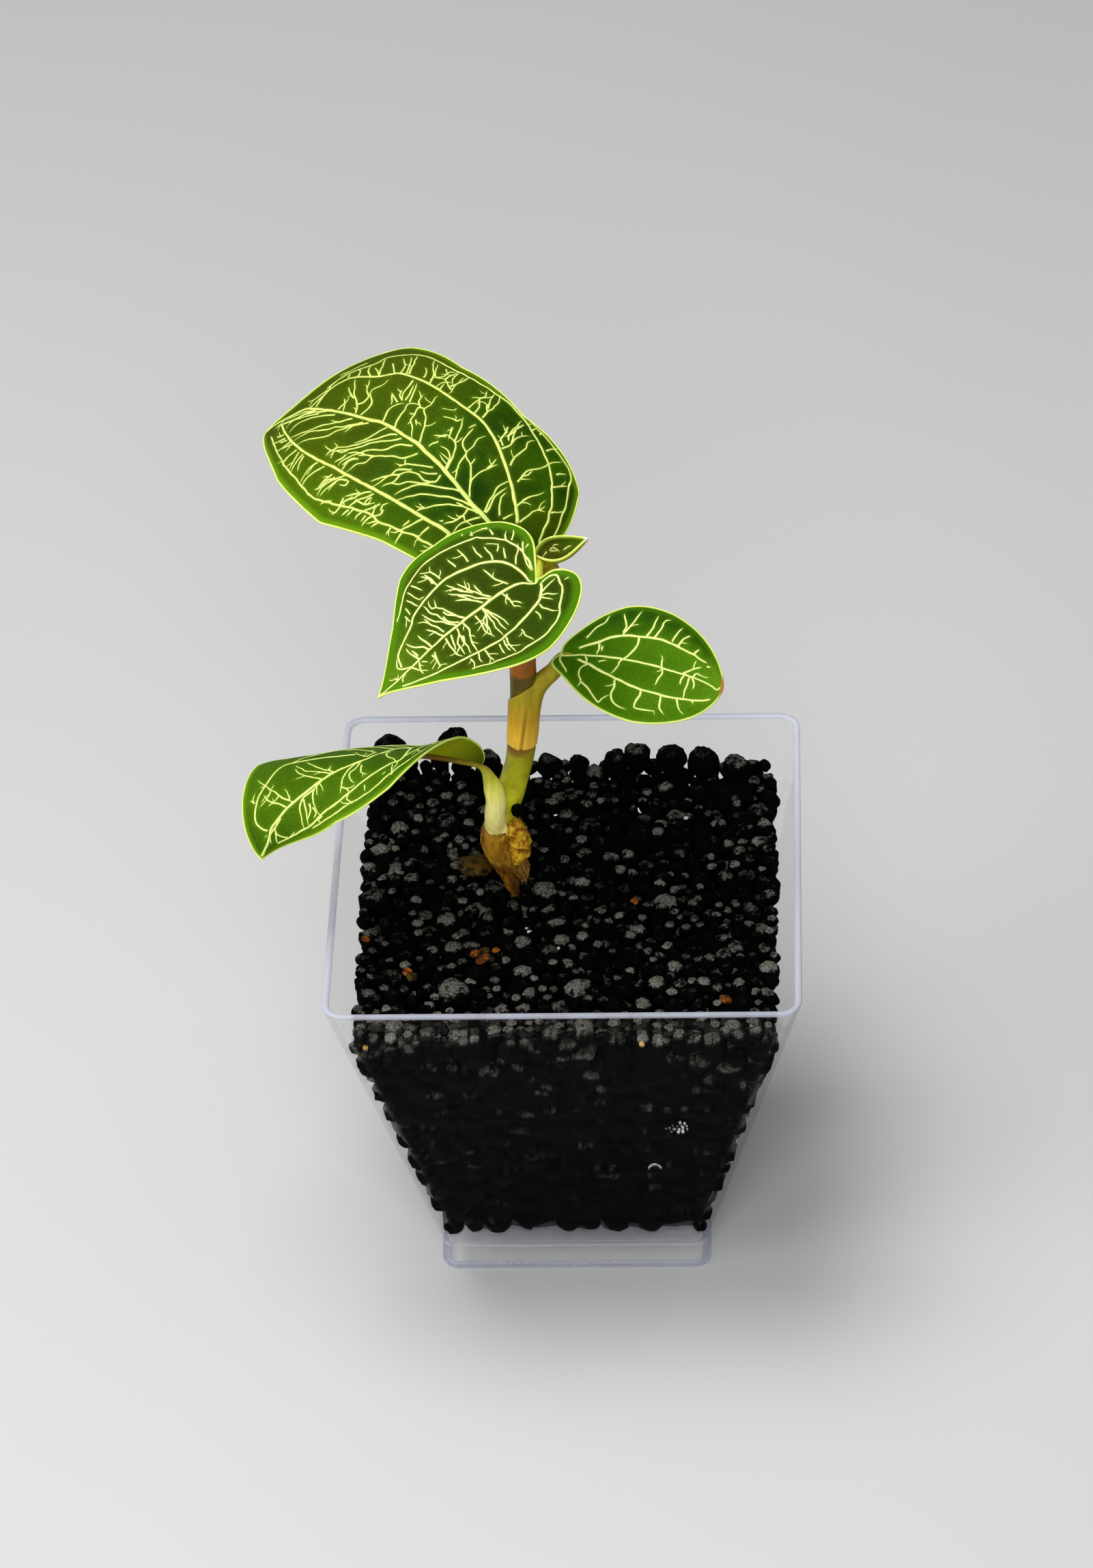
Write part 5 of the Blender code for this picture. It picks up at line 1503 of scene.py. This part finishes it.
def makeBlade(leaf, frames, veins, strengths, rim):
    rows, columns = leaf["grid"]
    bpy.ops.mesh.primitive_grid_add(x_subdivisions=rows, y_subdivisions=columns, size=2)
    blade = bpy.context.object
    veinTree = treeOf([place for line in veins for place, _, _, _ in line])
    outline = [place for place, _, _, _ in rim]
    outline += [a.lerp(b, share) for a, b in zip(outline, outline[1:]) for share in (0.25, 0.5, 0.75)]
    edgeTree = treeOf(outline)
    edges, glows, alongs, acrosses = [], [], [], []
    for vert in blade.data.vertices:
        s = ((vert.co.x + 1) / 2) ** leafLooks["crowding"]
        t = reachOf(leaf, s, vert.co.y)
        x, y = s * leaf["length"], t * halfWidth(leaf, sideOf(t), s)
        bent = bend(leaf, frames, x, y, 0)
        _, i, distance = veinTree.find(bent)
        glow = max(0, 1 - distance / leafLooks["haloReach"]) ** leafLooks["haloFade"] * strengths[i]
        edges.append(edgeTree.find(bent)[2] / mm)
        glows.append(glow)
        alongs.append(s)
        acrosses.append(t)
        vert.co = potAxis + bend(leaf, frames, x, y, leafLooks["pucker"] * (1 - glow))
    store(blade.data, edge=edges, glow=glows, along=alongs, across=acrosses)
    blade.data.flip_normals()            # the pattern's right half is on its left once it is bent
    editAll(blade, ("remove_doubles", {"threshold": 0.000004}))
    for _ in range(2):                   # two slots, so that the faces of the underside can be told apart
        blade.data.materials.append(None)
    addModifier(blade, "SOLIDIFY", thickness=leafLooks["thickness"], offset=0, use_even_offset=False,
                material_offset=1)
    under = [float(face.material_index == 1) for face in blade.data.polygons]
    blade.data.polygons.foreach_set("material_index", [0] * len(under))
    store(blade.data, "FACE", under=under)
    blade.data.shade_smooth()
    return blade


def tipColour(tree, leaf, colour):
    if "tip" in leaf:                    # the very end is dry or pale
        start, dry = leaf["tip"]
        colour = mixOf(tree, spread(tree, attributeOf(tree, "along"), start, start + 0.018), colour, dry)
    return colour


def bladeMaterial(name, leaf):
    material, tree, shader = newMaterial("leaf_" + name + "_skin", gloss=leafLooks["gloss"])
    place = objectPlace(tree)
    wide = noiseOf(tree, place, 95, 3)
    cells = noiseOf(tree, place, 4200, 3, 0.7)
    ground = mixOf(tree, spread(tree, wide, 0.38, 0.62), leaf["deep"], leaf["green"])
    olive = spread(tree, noiseOf(tree, objectPlace(tree, (1, 1.4, 1)), 60, 2), 0.42, 0.66)
    ground = mixOf(tree, olive, ground, leaf["olive"])
    for label, low, high, strength, colour in leaf["zones"]:
        share = times(tree, spread(tree, attributeOf(tree, label), low, high), strength)
        ground = mixOf(tree, share, ground, colour)
    sparkle = spread(tree, cells, 0.35, 0.72)
    ground = mixOf(tree, 1.0, ground, mixOf(tree, sparkle, (0.74, 0.78, 0.74), (1.30, 1.24, 1.35)), "MULTIPLY")
    glow = times(tree, attributeOf(tree, "glow"), leafLooks["haloStrength"])
    ground = mixOf(tree, glow, ground, leaf["halo"])
    edge = attributeOf(tree, "edge")
    reachIn, reachOut, strength, bandColour = leaf["band"]
    ground = mixOf(tree, spread(tree, edge, reachIn, reachOut, strength, 0.0), ground, bandColour)
    ground = mixOf(tree, spread(tree, edge, 0.08, 0.22, 1.0, 0.0), ground, leafLooks["rim"])
    ground = tipColour(tree, leaf, ground)
    pale = leaf.get("under", leafLooks["under"])
    under = mixOf(tree, sparkle, pale, tuple(value * 1.35 for value in pale))
    if "underZone" in leaf:
        low, high, dark = leaf["underZone"]
        under = mixOf(tree, spread(tree, attributeOf(tree, "along"), low, high), dark, under)
    colour = mixOf(tree, attributeOf(tree, "under"), ground, under)
    dress(tree, shader, Base_Color=colour, Roughness=spread(tree, cells, 0.3, 0.8, *leafLooks["roughness"]))
    bumpOn(tree, shader, cells, 0.28, 0.00008)
    return material


def patchy(tree, shader, leaf, scale, a, b):
    patches = noiseOf(tree, objectPlace(tree), scale, 3)
    colour = mixOf(tree, spread(tree, patches, 0.35, 0.65), a, b)
    dress(tree, shader, Base_Color=tipColour(tree, leaf, colour))


def veinMaterial(name, leaf):
    material, tree, shader = newMaterial("leaf_" + name + "_vein", gloss=leafLooks["gloss"])
    patchy(tree, shader, leaf, 500, leaf["branch"], leaf["vein"])
    bumpOn(tree, shader, noiseOf(tree, objectPlace(tree), 3000, 2), 0.2, 0.0001)
    return material


def rimMaterial(name, leaf):
    material, tree, shader = newMaterial("leaf_" + name + "_rim", gloss=leafLooks["gloss"])
    patchy(tree, shader, leaf, 260, leafLooks["rim"], leafLooks["paleRim"])
    return material


def petioleLine(leaf, frames):
    # the petiole, running on as a keel under the blade
    base = bend(leaf, frames, 0, 0, 0)
    joined = leaf["petioleRadius"] * leaf.get("taper", 1)
    tip, steps = stalks["keelTip"], stalks["keelSteps"]
    keel = []
    for i in range(steps + 1):
        s = leaf.get("keel", stalks["keel"]) * i / steps
        left = (1 - i / steps) ** stalks["thinning"]
        radius = joined * left + tip * (1 - left)
        sunk = frameAt(frames, s)[3] * (radius * stalks["sunk"] - stalks["proud"])
        keel.append(bend(leaf, frames, s * leaf["length"], 0, 0) - sunk)
    route = smoothRoute(leaf["petiole"] + keel, stalks["spacing"])
    reach = [0.0]
    for a, b in zip(route, route[1:]):
        reach.append(reach[-1] + (b - a).length)
    start = reach[min(range(len(route)), key=lambda i: (route[i] - base).length)]
    radii = [(leaf.get("full", stalks["full"]), leaf["petioleRadius"]), (1.0, joined)]
    line = []
    for place, distance in zip(route, reach):
        left = (1 - max(0, (distance - start) / (reach[-1] - start))) ** stalks["thinning"]
        swell = leaf.get("flare", 0) * max(0, 1 - distance / start) ** stalks["flareFade"]
        line.append((place, between(distance / start, radii) * left + tip * (1 - left) + swell))
    return line


def makeStalk(name, leaf, frames):
    stalk = drawLines(name + "_stalk", [petioleLine(leaf, frames)], 8)
    closeUp(stalk)
    if leaf["sheath"]:
        heights = evenly(*leaf["sheath"], stalks["sleeveSteps"])
        sleeve = drawLines(name + "_sleeve", [[(stemAt(z), stalks["sleeve"]) for z in heights]], 8)
        closeUp(sleeve)
        if "cut" in leaf:                # the slanting upper edge of the sheath
            editAll(sleeve, cutOff(*leaf["cut"]))
        addModifier(stalk, "BOOLEAN", operation="UNION", solver="EXACT", object=sleeve)
        removeAll([sleeve])
    addModifier(stalk, "REMESH", mode="VOXEL", voxel_size=stalks["voxel"])
    addModifier(stalk, "SMOOTH", factor=0.5, iterations=stalks["smoothing"])
    store(stalk.data, crease=None)
    if "crease" in leaf:
        creaseSheath(stalk, **leaf["crease"])
    shift(stalk)
    stalk.data.shade_smooth()
    return stalk


def creaseSheath(stalk, heights, start, slant, front, groove, fold):
    # the lengthwise fold of the papery sheath, on its front: its depth is kept for the painted shade in the
    # groove
    low, high = heights
    width, depth = groove
    aside, broad, raised = fold
    for vert, mark in zip(stalk.data.vertices, stalk.data.attributes["crease"].data):
        if low < vert.co.z < high:
            axis = stemAt(vert.co.z)
            share = (vert.co.z - low) / (high - low)
            off = vert.co.x - axis.x - (start + slant * share)
            fade = max(0, (axis.y - vert.co.y) / front) * math.sin(math.pi * min(1, 0.25 + share * 0.75))
            hollow, swell = math.exp(-(off / width) ** 2), math.exp(-((off + aside) / broad) ** 2)
            vert.co.y += (hollow * depth - swell * raised) * fade
            mark.value = hollow * fade


def stalkMaterial(name, leaf):
    material, tree, shader = newMaterial("leaf_" + name + "_stalk", gloss=plantGloss)
    stops = leaf["stalk"]
    colour = heightRamp(tree, stops[0][0] - 0.001, stops[-1][0] + 0.001, stops)
    fibres = noiseOf(tree, objectPlace(tree, (1, 1, 0.15)), 1700, 3)
    shade = mixOf(tree, spread(tree, fibres, 0.3, 0.72), (0.86, 0.82, 0.76), (1.16, 1.14, 1.10))
    colour = mixOf(tree, 1.0, colour, shade, "MULTIPLY")
    # painted shade in the sheath's crease, by the groove's depth
    colour = mixOf(tree, times(tree, attributeOf(tree, "crease"), 0.75), colour, stalks["creaseColour"])
    dress(tree, shader, Base_Color=colour, Roughness=spread(tree, fibres, 0.3, 0.8, 0.36, 0.58))
    bumpOn(tree, shader, fibres, 0.3, 0.00015)
    return material


def makeLeaves():
    draw = random.Random(leafLooks["seed"])
    for name, leaf in leaves.items():
        frames = midribFrames(leaf)
        lines, strengths = veinLines(leaf, draw)
        veins = [bendLine(leaf, frames, line) for line in lines]
        rim = bendLine(leaf, frames, rimLine(leaf))
        pieces = [("_blade", bladeMaterial, makeBlade(leaf, frames, veins, strengths, rim)),
                  ("_veins", veinMaterial, layOn(name + "_veins", veins, 1, *leafLooks["flattened"])),
                  ("_rim", rimMaterial, layOn(name + "_rim", [rim], 2, 1.0, 1.0)),
                  ("_stalk", stalkMaterial, makeStalk(name, leaf, frames))]
        for ending, materialOf, piece in pieces:
            finishPiece(piece, "leaf_" + name + ending, materialOf(name, leaf), leaf.get("slot", "leaf_blade"),
                        "leaf_" + name)


# bits of bark and a few pale flecks among the granules: place, size and turn of each
chips = {
    "bark": [(-0.0120, 0.0041, 0.0026, 15), (-0.0195, -0.0152, 0.0008, 130), (-0.0106, -0.0100, 0.0009, 0)],
    "orange": [(-0.0116, -0.0106, 0.0008, 70), (-0.0104, -0.0108, 0.0009, 20), (-0.0109, -0.0115, 0.0007, 120),
               (-0.0201, -0.0139, 0.0008, 130), (-0.0256, -0.0080, 0.0006, 40), (0.0203, -0.0190, 0.0009, 10),
               (0.0085, -0.0012, 0.0007, 100), (-0.0090, -0.0094, 0.0006, 20)],
    "fleck": [(-0.0048, -0.0062, 0.0003, 0), (-0.0044, -0.0055, 0.00022, 50), (-0.0052, -0.0056, 0.0002, 10),
              (-0.0010, -0.0098, 0.00025, 50), (0.0150, 0.0150, 0.0003, 20)],
}
wallMarks = {                        # on the front wall's inner side: x, height and size of each
    "droplets": [(0.01241, 0.02943, 0.00014), (0.01287, 0.02961, 0.00017), (0.01330, 0.03015, 0.00011),
                 (0.01309, 0.02874, 0.00017), (0.01349, 0.02935, 0.00025), (0.01393, 0.03000, 0.00015),
                 (0.01408, 0.02928, 0.00020), (0.01443, 0.02993, 0.00011), (0.01459, 0.02956, 0.00015),
                 (0.01424, 0.03069, 0.00017), (0.01481, 0.03052, 0.00015), (0.01508, 0.02993, 0.00011),
                 (0.01512, 0.02928, 0.00011), (0.01456, 0.02874, 0.00020), (0.01399, 0.02863, 0.00020),
                 (0.01000, 0.02063, 0.00010), (0.01013, 0.02093, 0.00011), (0.01033, 0.02122, 0.00011),
                 (0.01055, 0.02137, 0.00011), (0.01078, 0.02143, 0.00011), (0.01100, 0.02137, 0.00011),
                 (0.01123, 0.02120, 0.00011), (0.01142, 0.02096, 0.00011), (0.01156, 0.02067, 0.00010)],
    "amber": [(0.00983, 0.04776, 0.00036), (-0.02484, 0.04745, 0.00032)],
}
chipLooks = {                        # dark and light colour
    "bark": ((0.003, 0.002, 0.001), (0.085, 0.046, 0.004)),
    "orange": ((0.040, 0.012, 0.002), (0.36, 0.10, 0.007)),
    "fleck": ((0.40, 0.41, 0.38), (0.75, 0.76, 0.72)),
    "droplets": ((0.74, 0.76, 0.75), (0.88, 0.89, 0.87)),
    "amber": ((0.46, 0.20, 0.05), (0.86, 0.56, 0.22)),
}
chipShapes = {
    "seed": 3, "markSeed": 9, "count": 3, "rest": 0.7, "tilt": 0.3, "breadth": 0.86,
    "thickness": {"bark": 0.36, "orange": 0.40, "fleck": 0.8},    # as a share of the size
    "markGap": 0.3,                      # from the wall to a mark's middle, as a share of its size
}


def chipMaterial(kind):
    material, tree, shader = newMaterial(kind + "_skin", 0.75, 0.12)
    grain = noiseOf(tree, objectPlace(tree), 900, 5, 0.65)
    dress(tree, shader, Base_Color=mixOf(tree, spread(tree, grain, 0.42, 0.60), *chipLooks[kind]))
    bumpOn(tree, shader, grain, 0.6, 0.0002)
    return material


def makeBits(name, kind, shapes, placings):
    finishPiece(scatter(name, shapes, placings), name, chipMaterial(kind), "granules", "soil")
    removeAll(shapes)


def makeChips(heap):
    draw = random.Random(chipShapes["seed"])
    tilt = chipShapes["tilt"]
    for kind, bits in chips.items():
        shapes = makeLumps(draw, chipShapes["count"])
        flat = chipShapes["thickness"][kind]
        placings = []
        for x, y, size, turn in bits:
            place = Vector((x, y, heap.rest(x, y, size * chipShapes["rest"], bedAt(y))))
            matrix = (Matrix.Translation(potAxis + place) @ Matrix.Rotation(math.radians(turn), 4, "Z")
                      @ Euler((draw.uniform(-tilt, tilt), draw.uniform(-tilt, tilt), 0)).to_matrix().to_4x4()
                      @ Matrix.Diagonal((size, size * chipShapes["breadth"], size * flat, 1)))
            placings.append((draw.randrange(len(shapes)), matrix, 0.0))
        makeBits(kind + "_chips", kind, shapes, placings)


def makeWallMarks():
    draw = random.Random(chipShapes["markSeed"])
    for kind, marks in wallMarks.items():
        shapes = makeLumps(draw, chipShapes["count"])
        placings = []
        for i, (x, z, size) in enumerate(marks):
            place = (x, size * chipShapes["markGap"] - roomAt(z), z)
            placings.append((i % len(shapes), granuleMatrix(draw, place, size), 0.0))
        makeBits("wall_" + kind, kind, shapes, placings)


topHeap = makeGranules()
makeStem()
makeShreds()
makeRoots()
makeLeaves()
makeChips(topHeap)
makeWallMarks()
